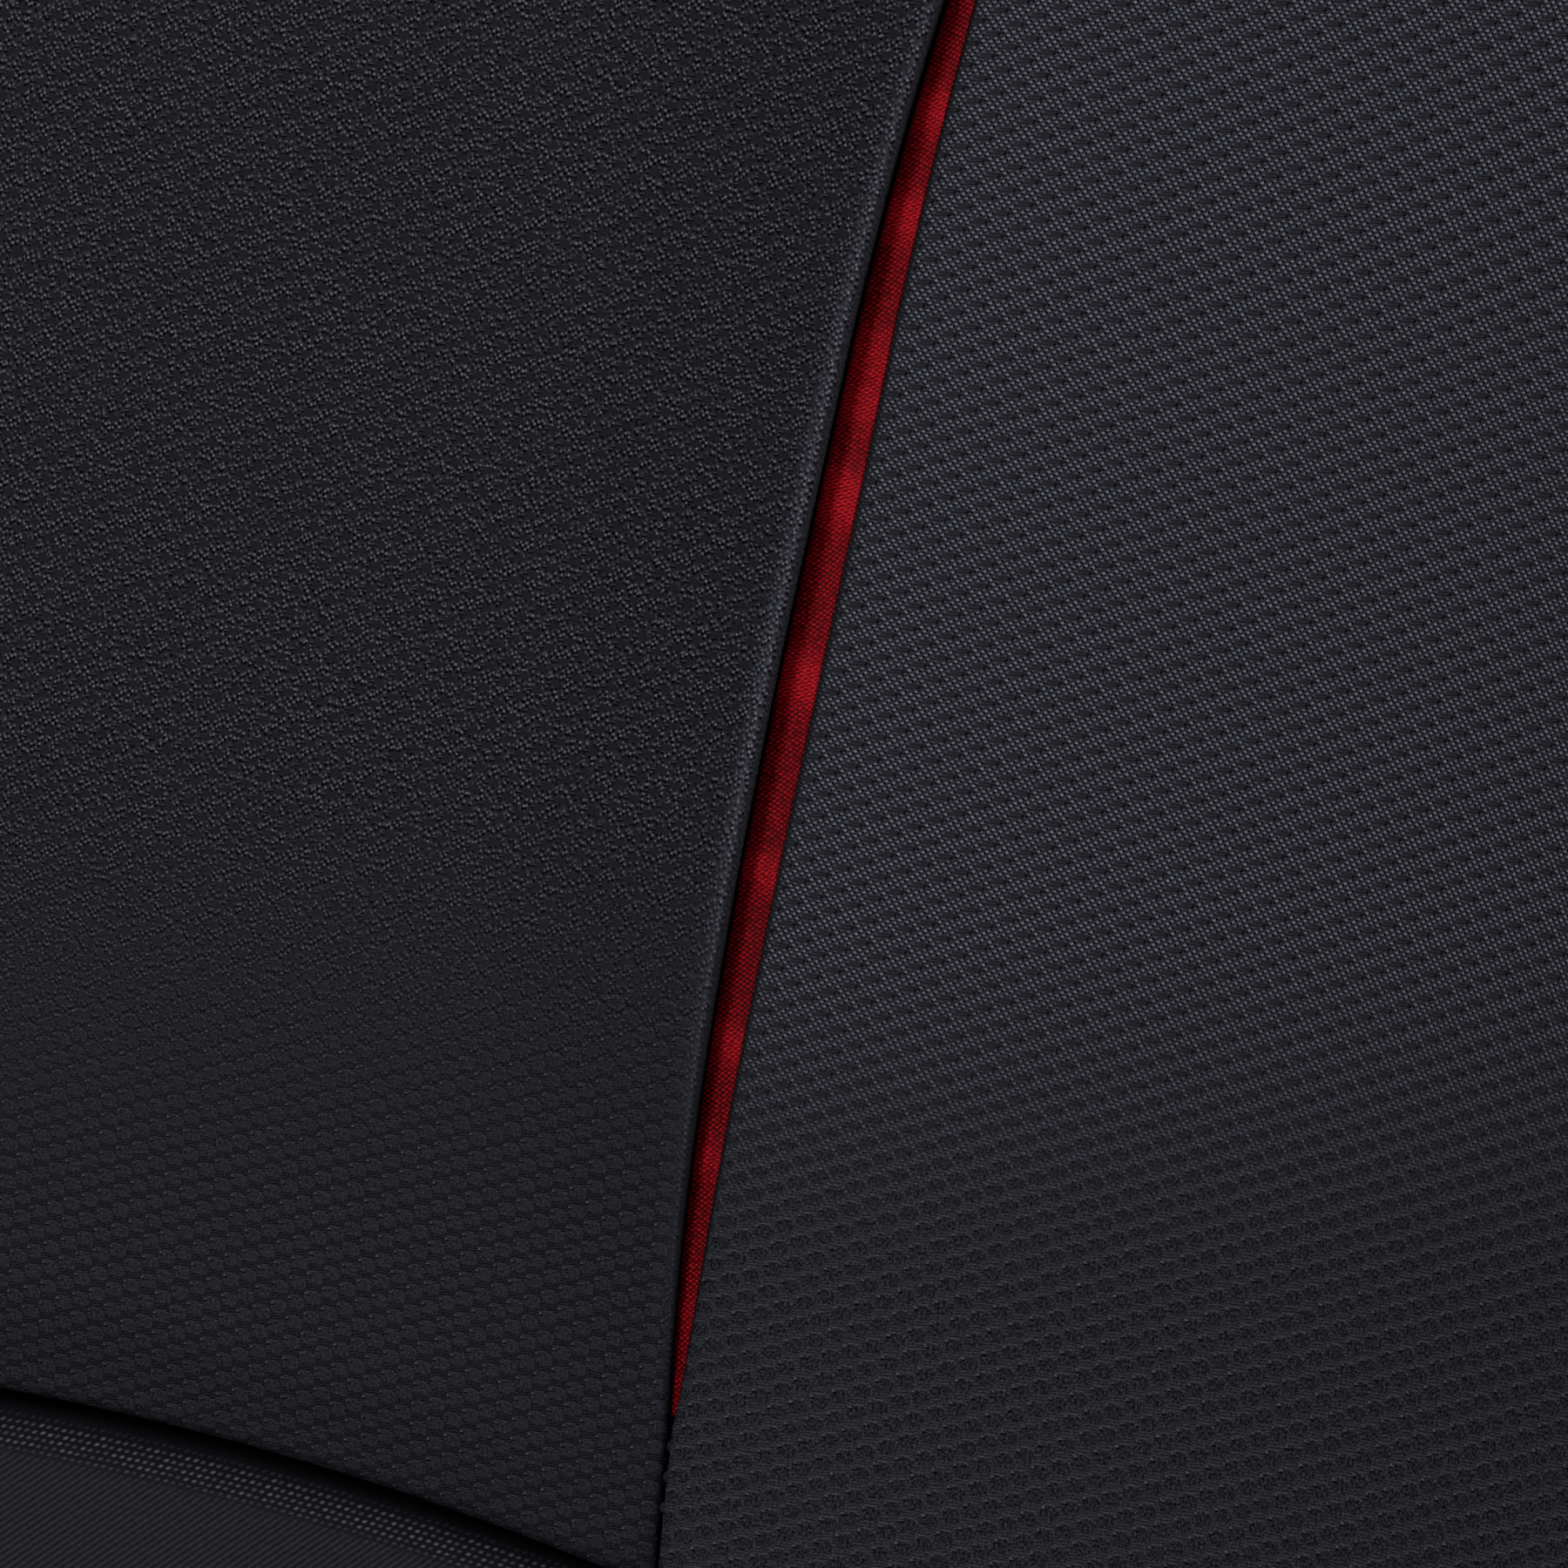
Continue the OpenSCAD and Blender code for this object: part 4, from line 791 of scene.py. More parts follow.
class Finishes:
    """Every material of the seat, one for each slot of the record."""

    def __init__(self) -> None:
        """Builds the materials."""
        looks = {
            "rail_steel": Metal("Zinc-plated rail", (0.3, 0.31, 0.33), (0.62, 0.63, 0.65), 0.42),
            "cage_plastic": Coated(
                "Cage plastic", (0.42, 0.37, 0.2), (0.62, 0.56, 0.36), 0.5, 0.8, 0.02
            ),
            "ball_steel": Metal("Polished ball", (0.6, 0.6, 0.62), (0.82, 0.82, 0.84), 0.2, EVEN),
            "bracket_black": Coated(
                "Bracket powder coat", (0.012, 0.012, 0.013), (0.035, 0.035, 0.037), 0.48, 0.7, 0.06
            ),
            "bolt_steel": Metal("Black oxide", (0.02, 0.02, 0.023), (0.1, 0.1, 0.11), 0.4, EVEN),
            "plated_steel": Metal("Zinc plate", (0.45, 0.46, 0.48), (0.74, 0.74, 0.76), 0.34, EVEN),
            "insert_brass": Metal("Insert brass", (0.42, 0.31, 0.1), (0.76, 0.62, 0.3), 0.35, EVEN),
            "shell_composite": Composite(),
            "trim_rubber": Coated(
                "Edge trim rubber", (0.006, 0.006, 0.006), (0.022, 0.022, 0.022), 0.62, 0.5, 0.04
            ),
            "bezel_plastic": Coated(
                "Bezel plastic", (0.01, 0.01, 0.01), (0.03, 0.03, 0.031), 0.45, 0.6, 0.05
            ),
            "jacquard_black": JacquardCloth(),
            "twill_black": TwillCloth(),
            "taffeta_red": RedTaffeta(),
            "hook_tape": Coated(
                "Hook tape", (0.008, 0.008, 0.008), (0.04, 0.04, 0.042), 0.9, 0.7, 0.5
            ),
            "bar_black": Coated(
                "Bar powder coat", (0.012, 0.012, 0.012), (0.035, 0.035, 0.036), 0.42, 0.6, 0.04
            ),
            "grip_foam": Coated(
                "Grip foam", (0.008, 0.008, 0.008), (0.025, 0.025, 0.025), 0.85, 0.8, 0.2
            ),
            "latch_steel": Metal("Latch steel", (0.2, 0.2, 0.22), (0.44, 0.44, 0.47), 0.42),
            "spring_steel": Metal("Spring wire", (0.3, 0.31, 0.33), (0.58, 0.58, 0.61), 0.32, EVEN),
        }
        self.by_slot = {slot: look.material() for slot, look in looks.items()}
        self.speckled = SpeckledCloth().material()
        self.lining = LiningCloth().material()
        self.thread = Thread().material()

    def __getitem__(self, slot: str) -> bpy.types.Material:
        """Material of a slot."""
        return self.by_slot[slot]


# ---- meshes ----


def add_object(name: str, data: bpy.types.ID) -> bpy.types.Object:
    """Makes an object of a mesh, camera or lamp and links it into the scene."""
    made = bpy.data.objects.new(name, data)
    bpy.context.scene.collection.objects.link(made)
    return made


def make_piece(
    name: str,
    points: Array,
    faces: Sequence[Sequence[int]],
    materials: Sequence[bpy.types.Material],
    uv: Array | None = None,
    sharp: float = 180.0,
    marks: dict[str, Array] | None = None,
) -> bpy.types.Object:
    """Makes a mesh object at the origin.

    Args:
        name: The piece's name.
        points: Points in millimetres.
        faces: Point numbers of each face.
        materials: Materials of the piece.
        uv: Place of each point on its cloth, in millimetres.
        sharp: Edges that turn more than this many degrees stay sharp.
        marks: Numbers stored at each point, by name.

    Returns:
        The new object.
    """
    mesh = bpy.data.meshes.new(name)
    mesh.from_pydata((np.asarray(points) * MM).tolist(), [], [list(f) for f in faces])
    for material in materials:
        mesh.materials.append(material)
    if uv is not None:
        corner = np.zeros(len(mesh.loops), np.int32)
        mesh.loops.foreach_get("vertex_index", corner)
        layer = mesh.uv_layers.new(name="cloth")
        layer.data.foreach_set("uv", (uv[corner] * MM).astype(np.float32).ravel())
    for key, values in (marks or {}).items():
        made = mesh.attributes.new(key, "FLOAT", "POINT")
        made.data.foreach_set("value", values.astype(np.float32))
    mesh.shade_smooth()
    if sharp < 180.0:
        mesh.set_sharp_from_angle(angle=math.radians(sharp))
    return add_object(name, mesh)


def to_mesh(source: bpy.types.Object) -> bpy.types.Object:
    """Replaces an object's modifiers by their result.

    Args:
        source: The object with live modifiers.

    Returns:
        The same object with a plain mesh.
    """
    graph = bpy.context.evaluated_depsgraph_get()
    mesh = bpy.data.meshes.new_from_object(source.evaluated_get(graph), depsgraph=graph)
    source.modifiers.clear()
    source.data = mesh
    return source


def place_piece(
    piece: bpy.types.Object, body: Body, nodes: Sequence[str] = ()
) -> bpy.types.Object:
    """Sets a piece on its body.

    Args:
        piece: The piece.
        body: What it moves with.
        nodes: Frame nodes that it stands for.

    Returns:
        The same piece.
    """
    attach(piece, body.value)
    if nodes:
        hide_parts(*nodes)
    LOG.info("%s: %d faces", piece.name, len(piece.data.polygons))
    return piece


def grid_faces(rows: int, columns: int, first: int = 0, flip: bool = False) -> Faces:
    """Faces of a grid of points.

    Args:
        rows: Number of rows.
        columns: Number of points in a row.
        first: Number of the grid's first point.
        flip: True to turn the faces over.

    Returns:
        The faces.
    """
    i, j = np.meshgrid(np.arange(rows - 1), np.arange(columns - 1), indexing="ij")
    a = (first + i * columns + j).ravel()
    quads = np.stack([a, a + 1, a + columns + 1, a + columns], 1)
    return (quads[:, ::-1] if flip else quads).tolist()


def edge_loop(rows: int, columns: int) -> list[int]:
    """Way round the edge of a grid.

    Args:
        rows: Number of rows.
        columns: Number of points in a row.

    Returns:
        Numbers of the edge points, once round.
    """
    return (
        list(range(columns - 1))
        + [i * columns + columns - 1 for i in range(rows - 1)]
        + [(rows - 1) * columns + j for j in range(columns - 1, 0, -1)]
        + [i * columns for i in range(rows - 1, 0, -1)]
    )


def mirror(points: Array, faces: Faces) -> tuple[Array, Faces]:
    """The same form on the other side of the seat's middle."""
    return points * FLIP, [f[::-1] for f in faces]


def closed_form(top: Array, bottom: Array, shares: Sequence[float] = ()) -> tuple[Array, Faces]:
    """Closed form between two grids.

    Args:
        top: Points of its upper face.
        bottom: Points of its lower face, in the same grid.
        shares: Shares of the way down at which its wall has rings of points.

    Returns:
        The points and the faces.
    """
    rows, columns = top.shape[:2]
    n, loop = rows * columns, edge_loop(rows, columns)
    upper, lower = top.reshape(-1, 3), bottom.reshape(-1, 3)
    m, base = len(loop), n + len(loop) * len(shares)
    levels = [loop, *(range(k, k + m) for k in range(n, base, m)), [base + k for k in loop]]
    faces = grid_faces(rows, columns) + grid_faces(rows, columns, base, True)
    for above, below in zip(levels, levels[1:]):
        for k in range(m):
            j = (k + 1) % m
            faces.append([above[j], above[k], below[k], below[j]])
    rings = [upper[loop] * (1 - k) + lower[loop] * k for k in shares]
    return np.concatenate([upper, *rings, lower]), faces


def flat_cloth(u: Array, w: Array) -> Array:
    """Places on flat cloth of the points of a closed form without rings."""
    flat = np.stack([w.ravel(), u.ravel()], -1)
    return np.concatenate([flat, flat])


def prism_faces(n: int) -> Faces:
    """Faces of a bar between two outlines of n points."""
    walls = [[k, (k + 1) % n, n + (k + 1) % n, n + k] for k in range(n)]
    return [list(range(n))[::-1], list(range(n, 2 * n)), *walls]


def ring_faces(n: int, m: int) -> Faces:
    """Faces of a closed ring of sections.

    Args:
        n: Number of sections.
        m: Number of points in each.

    Returns:
        The faces.
    """
    return [
        [k * m + s, k * m + (s + 1) % m, (k + 1) % n * m + (s + 1) % m, (k + 1) % n * m + s]
        for k in range(n)
        for s in range(m)
    ]


# ---- form of the shell ----


@dataclass(frozen=True)
class ShellForm:
    """The shell's inner surface: a bent spine with sections of flat, curve, wing and rim."""

    seat_height: float = 87.0
    front_reach: float = 265.0
    wall: float = 3.5
    rim_r: float = 12.0
    rim_turn: float = 60.0
    hip_r: float = 170.0
    pan_slope: float = 14.0
    stretches: tuple[Triple, ...] = (
        (60.0, 35.0, -pan_slope),
        (225.0, -pan_slope, -pan_slope),
        (hip_r * (70.0 + pan_slope) * math.pi / 180.0, -pan_slope, 70.0),
        (150.0, 70.0, 70.0),
        (120.0, 70.0, 77.0),
        (300.0, 77.0, 77.0),
        (60.0, 77.0, 84.0),
        (110.0, 84.0, 84.0),
    )
    ends: Array = field(init=False)
    starts: Array = field(init=False)
    stations: Array = field(init=False)
    slopes: Array = field(init=False)

    def __post_init__(self) -> None:
        """Works out where each stretch starts and the slopes between stations."""
        lengths = np.array([s[0] for s in self.stretches])
        ends = np.concatenate([[0.0], np.cumsum(lengths)])
        ways = [self._way(*s, np.array(s[0])) for s in self.stretches]
        offsets = np.concatenate([[[0.0, 0.0]], np.cumsum(ways, 0)])
        low = offsets[2][1] - self.hip_r * (1 - math.cos(math.radians(self.pan_slope)))
        starts = offsets + np.array([-self.front_reach, self.seat_height - low])
        lip, pan, hip, lower, mid, upper, neck, top = ends[1:]
        table = np.array(
            [
                [0, 128, 40, 28, 6],
                [lip, 160, 60, 70, 30],
                [lip + 60, 170, 50, 90, 48],
                [pan, 170, 50, 90, 54],
                [hip, 170, 50, 90, 54],
                [hip + 70, 130, 95, 72, 46],
                [lower - 20, 110, 130, 58, 45],
                [mid, 130, 130, 56, 50],
                [mid + 150, 164, 110, 58, 56],
                [upper - 74, 154, 80, 56, 50],
                [upper, 125, 60, 48, 34],
                [neck, 98, 52, 46, 28],
                [top - 44, 88, 48, 44, 26],
                [top, 52, 44, 30, 8],
            ]
        )
        rate = np.diff(table, axis=0) / np.diff(table[:, :1], axis=0)
        before = np.concatenate([rate[:1], rate])
        after = np.concatenate([rate, rate[-1:]])
        limit = 3 * np.minimum(abs(before), abs(after))
        slopes = np.sign(before) * np.minimum(abs(before + after) / 2, limit)
        slopes[before * after <= 0] = 0
        worked_out = {"ends": ends, "starts": starts, "stations": table, "slopes": slopes}
        for key, value in worked_out.items():
            object.__setattr__(self, key, value)

    @staticmethod
    def _way(length: float, start: float, end: float, d: Array) -> Array:
        """Way covered along a stretch.

        Args:
            length: Length of the stretch.
            start: Heading at its start, in degrees.
            end: Heading at its end.
            d: Distance from its start.

        Returns:
            The way as Y and Z.
        """
        a, turn = math.radians(start), math.radians(end - start)
        if turn == 0:
            return np.stack([d * math.cos(a), d * math.sin(a)], -1)
        h = a + turn * d / length
        return length / turn * np.stack([np.sin(h) - math.sin(a), math.cos(a) - np.cos(h)], -1)

    def spine(self, u: Array) -> tuple[Array, Array]:
        """Middle line of the surface.

        Args:
            u: Distance along it.

        Returns:
            Y and Z, and the heading in radians.
        """
        place, heading = np.zeros((*u.shape, 2)), np.zeros(u.shape)
        last = len(self.stretches) - 1
        number = np.clip(np.searchsorted(self.ends, u, "left") - 1, 0, last)
        for n, (length, start, end) in enumerate(self.stretches):
            here = number == n
            d = u[here] - self.ends[n]
            place[here] = self.starts[n] + self._way(length, start, end, d)
            heading[here] = np.radians(start + (end - start) * d / length)
        return place, heading

    def station(self, u: Array) -> Array:
        """Section values of the surface.

        Args:
            u: Distance along it.

        Returns:
            Half flat, radius, turn in degrees and wing.
        """
        s = self.stations
        k = np.clip(np.searchsorted(s[:, 0], u, "left") - 1, 0, len(s) - 2)
        l = (s[k + 1, 0] - s[k, 0])[..., None]
        t = (u[..., None] - s[k, :1]) / l
        values = (
            (2 * t**3 - 3 * t**2 + 1) * s[k]
            + (t**3 - 2 * t**2 + t) * l * self.slopes[k]
            + (3 * t**2 - 2 * t**3) * s[k + 1]
            + (t**3 - t**2) * l * self.slopes[k + 1]
        )
        return values[..., 1:]

    def reach(self, u: Array) -> Array:
        """Distance from the middle to the end of the wing at u, along the section."""
        a, r, f, b = np.moveaxis(self.station(u), -1, 0)
        return a + r * np.radians(f) + b

    def surface(self, u: Array, w: Array) -> Array:
        """Points of the surface.

        Args:
            u: Distance along it.
            w: Distance across.

        Returns:
            The points.
        """
        (place, h), values = self.spine(u), self.station(u)
        a, r, f, b = np.moveaxis(values, -1, 0)
        f, x, rim = np.radians(f), abs(w), self.rim_r
        t = np.clip((x - a) / r, 0, f)
        k = np.clip(x - a - r * f, 0, b)
        e = np.maximum(x - a - r * f - b, 0) / rim
        across = np.minimum(x, a) + r * np.sin(t) + k * np.cos(f)
        across = across + rim * (np.sin(f) - np.sin(f - e))
        up = r * (1 - np.cos(t)) + k * np.sin(f) + rim * (np.cos(f - e) - np.cos(f))
        y, z = place[..., 0] - up * np.sin(h), place[..., 1] + up * np.cos(h)
        return np.stack([np.sign(w) * across, y, z], -1)

    def above(self, u: Array, w: Array, h: Array | float) -> Array:
        """Points h above the surface.

        Args:
            u: Distance along.
            w: Distance across.
            h: Height towards the sitter.

        Returns:
            The points.
        """
        e, top = 0.5, self.ends[-1]
        u0, u1 = np.clip(u - e, 0, top), np.clip(u + e, 0, top)
        across = self.surface(u, w + e) - self.surface(u, w - e)
        normal = np.cross(across, self.surface(u1, w) - self.surface(u0, w))
        normal /= np.linalg.norm(normal, axis=-1, keepdims=True)
        return self.surface(u, w) + np.asarray(h)[..., None] * normal


FORM = ShellForm()
U_HIP, U_LOWER, U_UPPER = FORM.ends[3], FORM.ends[4], FORM.ends[6]


@dataclass(frozen=True)
class Seam:
    """The long seam between centre panel and bolster, open where the red insert shows."""

    gap: float = 0.5
    reveal: float = 4.2
    start: float = U_LOWER + 16.0
    length: float = 165.0
    pull: tuple[Pair, ...] = (
        (660, 0.0), (684, 0.75), (702, 0.45), (712, 0.2), (722, -0.1), (737, -0.37),
        (757, -0.56), (777, -0.62), (797, -0.4), (817, -0.05), (840, 0.0),
    )  # fmt: skip

    def middle(self, u: Array) -> Array:
        """Distance of the seam from the seat's middle, with the sewer's small strays."""
        return FORM.station(u)[..., 0] + np.interp(u, *zip(*self.pull))

    def width(self, u: Array) -> Array:
        """Width of the gap."""
        t = np.clip((u - self.start) / self.length, 0, 1)
        return self.gap + self.reveal * (4 * t * (1 - t)) ** 0.6


SEAM = Seam()


# ---- pads ----


def arch(w: Array) -> Array:
    """Drop of the lumbar pad's arched top at w from the middle."""
    r = 300.0
    return r - np.sqrt(r**2 - np.minimum(abs(w), 0.7 * r) ** 2)


def level(w: Array) -> Array:
    """No drop at all."""
    return np.zeros_like(w)


class Hem(Enum):
    """Edge of a pad along which its cloth looks different."""

    NONE = 0
    SEAM = 1
    TOP = 2


@dataclass(frozen=True)
class Edge:
    """How a pad's top meets one edge."""

    share: float
    roll: float = 5.0


@dataclass
class Pad:
    """A sewn, foam-filled pad on the shell."""

    name: str
    nodes: tuple[str, ...]
    slot: str
    start: float
    end: float
    low: Callable[[Array], Array]
    high: Callable[[Array], Array]
    thickness: float
    lift: float
    edges: tuple[Edge, Edge, Edge, Edge]
    corners: Pair = (0.0, 0.0)
    drops: tuple[Callable[[Array], Array], Callable[[Array], Array]] = (level, level)
    cell: float = 3.0
    trial_cell: float = 7.0
    fill: float = 0.8
    swell: float = 2.5
    back: float = 0.7
    mirrored: bool = False
    stitched: float = 0.0
    sunk: float = 1.3
    thread_lift: float = 0.15
    groove: float = 1.8
    hold: float = 9.0
    hem: Hem = Hem.NONE
    drawn: Pair = (0.0, 0.0)
    speckled: bool = False
    taut: float = 1.0

    @property
    def length(self) -> float:
        """Length along the shell."""
        return self.end - self.start

    @property
    def across(self) -> float:
        """Width halfway along."""
        middle = np.array([(self.start + self.end) / 2])
        return float((self.high(middle) - self.low(middle))[0])

    @staticmethod
    def _crown(t: Array, first: float, last: float) -> Array:
        """Share of the height at t between two edges."""
        e = np.where(t < 0.5, first, last)
        return e + (1 - e) * np.sqrt(np.maximum(1 - abs(2 * t - 1) ** 3, 0))

    def _steps(self, length: float, cell: float) -> Array:
        """Rows or columns of a grid, close together near both ends and at the sewn line.

        Args:
            length: Length of the pad in this direction.
            cell: Usual distance between rows.

        Returns:
            Their places between 0 and 1.
        """
        near = np.array([0, 0.12, 0.35, 0.7, 1.15, 1.7, 2.4, 3.2, 4.2, 5.5, 7.0])
        if cell > 4:
            near = np.array([0, 2.5])
        elif self.stitched:
            line = self.stitched + np.array([-3.0, -2.1, -1.4, -0.7, 0, 0.7, 1.4, 2.1, 3.0])
            count = max(2, round((self.stitched - 10.0) / cell))
            gap = np.linspace(near[-1], line[0], count)[1:-1]
            near = np.concatenate([near, gap, line])
        count = max(2, round((length - 2 * near[-1]) / cell))
        inner = np.linspace(near[-1], length - near[-1], count + 1)[1:-1]
        return np.concatenate([near, inner, (length - near)[::-1]]) / length

    def _place(self, s: Array, v: Array) -> tuple[Array, Array, Array]:
        """Places points on the shell.

        Args:
            s: Shares of the way across the pad.
            v: Shares of the way along it.

        Returns:
            Places along and across the shell, and the pad's width there.
        """
        row = self.start + v * self.length

        def drop(w: Array) -> Array:
            """Shift along the shell at w from the middle."""
            return -self.drops[0](w) * (1 - v) - self.drops[1](w) * v

        pull = np.maximum(0, 1 - np.minimum(v, 1 - v) / 0.2) ** 2
        low = self.low(row + drop(self.low(row))) + self.corners[0] * pull
        high = self.high(row + drop(self.high(row))) - self.corners[1] * pull
        w = low + s * (high - low)
        return row + drop(w), w, high - low

    def _top(self, s: Array, v: Array, width: Array) -> Array:
        """Height of the top, with its rolled edges.

        Args:
            s: Shares of the way across the pad.
            v: Shares of the way along it.
            width: The pad's width at each point.

        Returns:
            Heights above the shell.
        """
        a, b, c, d = self.edges
        height = self.thickness * self._crown(s, a.share, b.share)
        height = height * self._crown(v, c.share, d.share)
        drop = np.zeros_like(s)
        ways = s * width, (1 - s) * width, v * self.length, (1 - v) * self.length
        for edge, far in zip(self.edges, ways):
            near = np.clip(1 - far / edge.roll, 0, 1)
            drop = drop + edge.roll * (1 - np.sqrt(1 - near**2))
        lowest = self.back + 0.8
        share = drop / (height - lowest)
        return self.lift + height - (height - lowest) * share / (1 + share**4) ** 0.25

    def _sheet(self, cell: float) -> tuple[Array, Array, Array, Array]:
        """Grid of points over the pad.

        Args:
            cell: Usual distance between its rows.

        Returns:
            Places along and across the shell, heights, and shares across and along the pad.
        """
        v, s = np.meshgrid(
            self._steps(self.length, cell), self._steps(self.across, cell), indexing="ij"
        )
        u, w, width = self._place(s, v)
        return u, w, self._top(s, v, width), np.stack([s, v], -1)

    def _marks(self, u: Array, sv: Array) -> dict[str, Array]:
        """Numbers for the cloth.

        Args:
            u: Places along the shell.
            sv: Shares across and along the pad.

        Returns:
            Distance from its hem, and how much it is drawn.
        """
        s, v = sv[..., 0], sv[..., 1]
        width, opened = self._place(s, v)[2], np.maximum(SEAM.width(u) - SEAM.gap, 0.02)
        far = {
            Hem.NONE: s * 0 + NO_HEM,
            Hem.SEAM: np.minimum(s, 1 - s) * width * SEAM.reveal / opened,
            Hem.TOP: (1 - v) * self.length,
        }[self.hem]
        low, high = self.drawn
        pulled = np.clip((high - u) / max(high - low, 1.0), 0, 1)
        return {"hem": far, "drawn": pulled**2 * (3 - 2 * pulled)}

    def _laid(self, u: Array, w: Array, top: Array, bottom: Array, loop: list[int]) -> Array:
        """Place of every point on the flat cloth.

        Args:
            u: Place along the shell of each grid point.
            w: Place across it.
            top: Points of the top.
            bottom: Points of the underside.
            loop: Numbers of the edge points.

        Returns:
            The places, for the top, two rings of the wall and the underside.
        """
        rows, columns = u.shape
        flat = np.stack([w * self.taut, u], -1)
        if self.hem is Hem.NONE:
            for axis, middle in ((1, columns // 2), (0, rows // 2)):
                run = np.cumsum(np.linalg.norm(np.diff(top, axis=axis), axis=-1), axis=axis)
                run = np.concatenate([np.zeros_like(run.take([0], axis)), run], axis)
                flat[..., 1 - axis] = run - run.take([middle], axis)
        flat = flat.reshape(-1, 2)
        i, j = np.divmod(np.array(loop), columns)
        out = np.stack([(j == columns - 1) * 1.0 - (j == 0), (i == rows - 1) * 1.0 - (i == 0)], -1)
        wall = np.linalg.norm((top - bottom).reshape(-1, 3)[loop], axis=-1)[:, None]
        rings = [flat[loop] + out * wall * k for k in WALL_RINGS]
        under = flat.copy()
        under[loop] += out * wall
        return np.concatenate([flat, *rings, under])

    def _swelling(self) -> tuple[Array, Array, Array]:
        """Lets a coarse copy swell as cloth.

        Returns:
            The coarse grid's places across and along, and how far its top rose.
        """
        u, w, h, sv = self._sheet(self.trial_cell)
        top, bottom = FORM.above(u, w, h), FORM.above(u, w, self.lift + self.back)
        points, faces = closed_form(top, bottom, WALL_RINGS)
        trial = make_piece(self.name + "_trial", points, faces, [])
        rows, columns = u.shape
        inner = [i * columns + j for i in range(1, rows - 1) for j in range(1, columns - 1)]
        group = trial.vertex_groups.new(name="held")
        group.add([k for k in range(len(points)) if k not in set(inner)], 1.0, "REPLACE")
        cloth = trial.modifiers.new("Swell", "CLOTH")
        for key, value in CLOTH_SETTINGS.items():
            setattr(cloth.settings, key, value)
        cloth.settings.effector_weights.gravity = 0.0
        cloth.point_cache.frame_end = SWELL_FRAMES
        for number in range(1, SWELL_FRAMES + 1):
            bpy.context.scene.frame_set(number)
        swollen = trial.evaluated_get(bpy.context.evaluated_depsgraph_get())
        after = np.zeros(len(points) * 3)
        swollen.data.vertices.foreach_get("co", after)
        after = after.reshape(-1, 3)[: rows * columns].reshape(rows, columns, 3) / MM
        normal = FORM.above(u, w, 1.0) - FORM.surface(u, w)
        rise = np.clip(((after - top) * normal).sum(-1), -self.swell, self.swell)
        bpy.data.objects.remove(trial)
        bpy.context.scene.frame_set(1)
        return sv[0, :, 0], sv[:, 0, 1], rise

    def _rise(self, s: Array, v: Array) -> Array:
        """Rise of the top at each point of the fine grid.

        Args:
            s: Shares across the pad.
            v: Shares along it.

        Returns:
            The rise in millimetres.
        """
        columns, rows, rise = self._swelling()
        along = np.stack([np.interp(s[0], columns, row) for row in rise])
        return np.stack([np.interp(v[:, 0], rows, along[:, j]) for j in range(s.shape[1])], 1)

    def build(self, finishes: Finishes) -> bpy.types.Object:
        """Makes the pad.

        Args:
            finishes: The seat's materials.

        Returns:
            The pad, set on its body.
        """
        u, w, h, sv = self._sheet(self.cell)
        rise = self._rise(sv[..., 0], sv[..., 1])
        if self.stitched:
            far = self._from_line(sv)
            rise = rise * (1 - np.exp(-((far / self.hold) ** 2)))
            h = h - self.sunk * np.exp(-((far / self.groove) ** 2))
        h = h + rise
        top, bottom = FORM.above(u, w, h), FORM.above(u, w, self.lift + self.back)
        points, faces = closed_form(top, bottom, WALL_RINGS)
        loop = edge_loop(*u.shape)
        uv = self._laid(u, w, top, bottom, loop)
        marks = {
            key: np.concatenate([m.ravel(), m.ravel()[loop], m.ravel()[loop], m.ravel()])
            for key, m in self._marks(u, sv).items()
        }
        if self.mirrored:
            (points, faces), uv = mirror(points, faces), uv * FLIP[:2]
        cloth = finishes.speckled if self.speckled else finishes[self.slot]
        piece = make_piece(self.name, points, faces, [cloth], uv, marks=marks)
        place_piece(piece, Body.SEAT, self.nodes)
        return piece

    def _from_line(self, sv: Array) -> Array:
        """Distance from the sewn line that runs round the pad inside its edges."""
        inside = np.minimum(sv, 1 - sv) * [self.across, self.length]
        return inside.min(-1) - self.stitched

    def sewn_line(self) -> Array:
        """Points along the sewn line.

        Returns:
            The points in millimetres, once round.
        """
        s0, v0 = self.stitched / self.across, self.stitched / self.length
        t = np.linspace(0, 1, 80, endpoint=False)
        (s1, s2), (v1, v2) = ((k + t * (1 - 2 * k), 1 - k - t * (1 - 2 * k)) for k in (s0, v0))
        s = np.concatenate([s1, t * 0 + 1 - s0, s2, t * 0 + s0])
        v = np.concatenate([t * 0 + v0, v1, t * 0 + 1 - v0, v2])
        u, w, width = self._place(s, v)
        return FORM.above(u, w, self._top(s, v, width) - self.sunk + self.thread_lift)


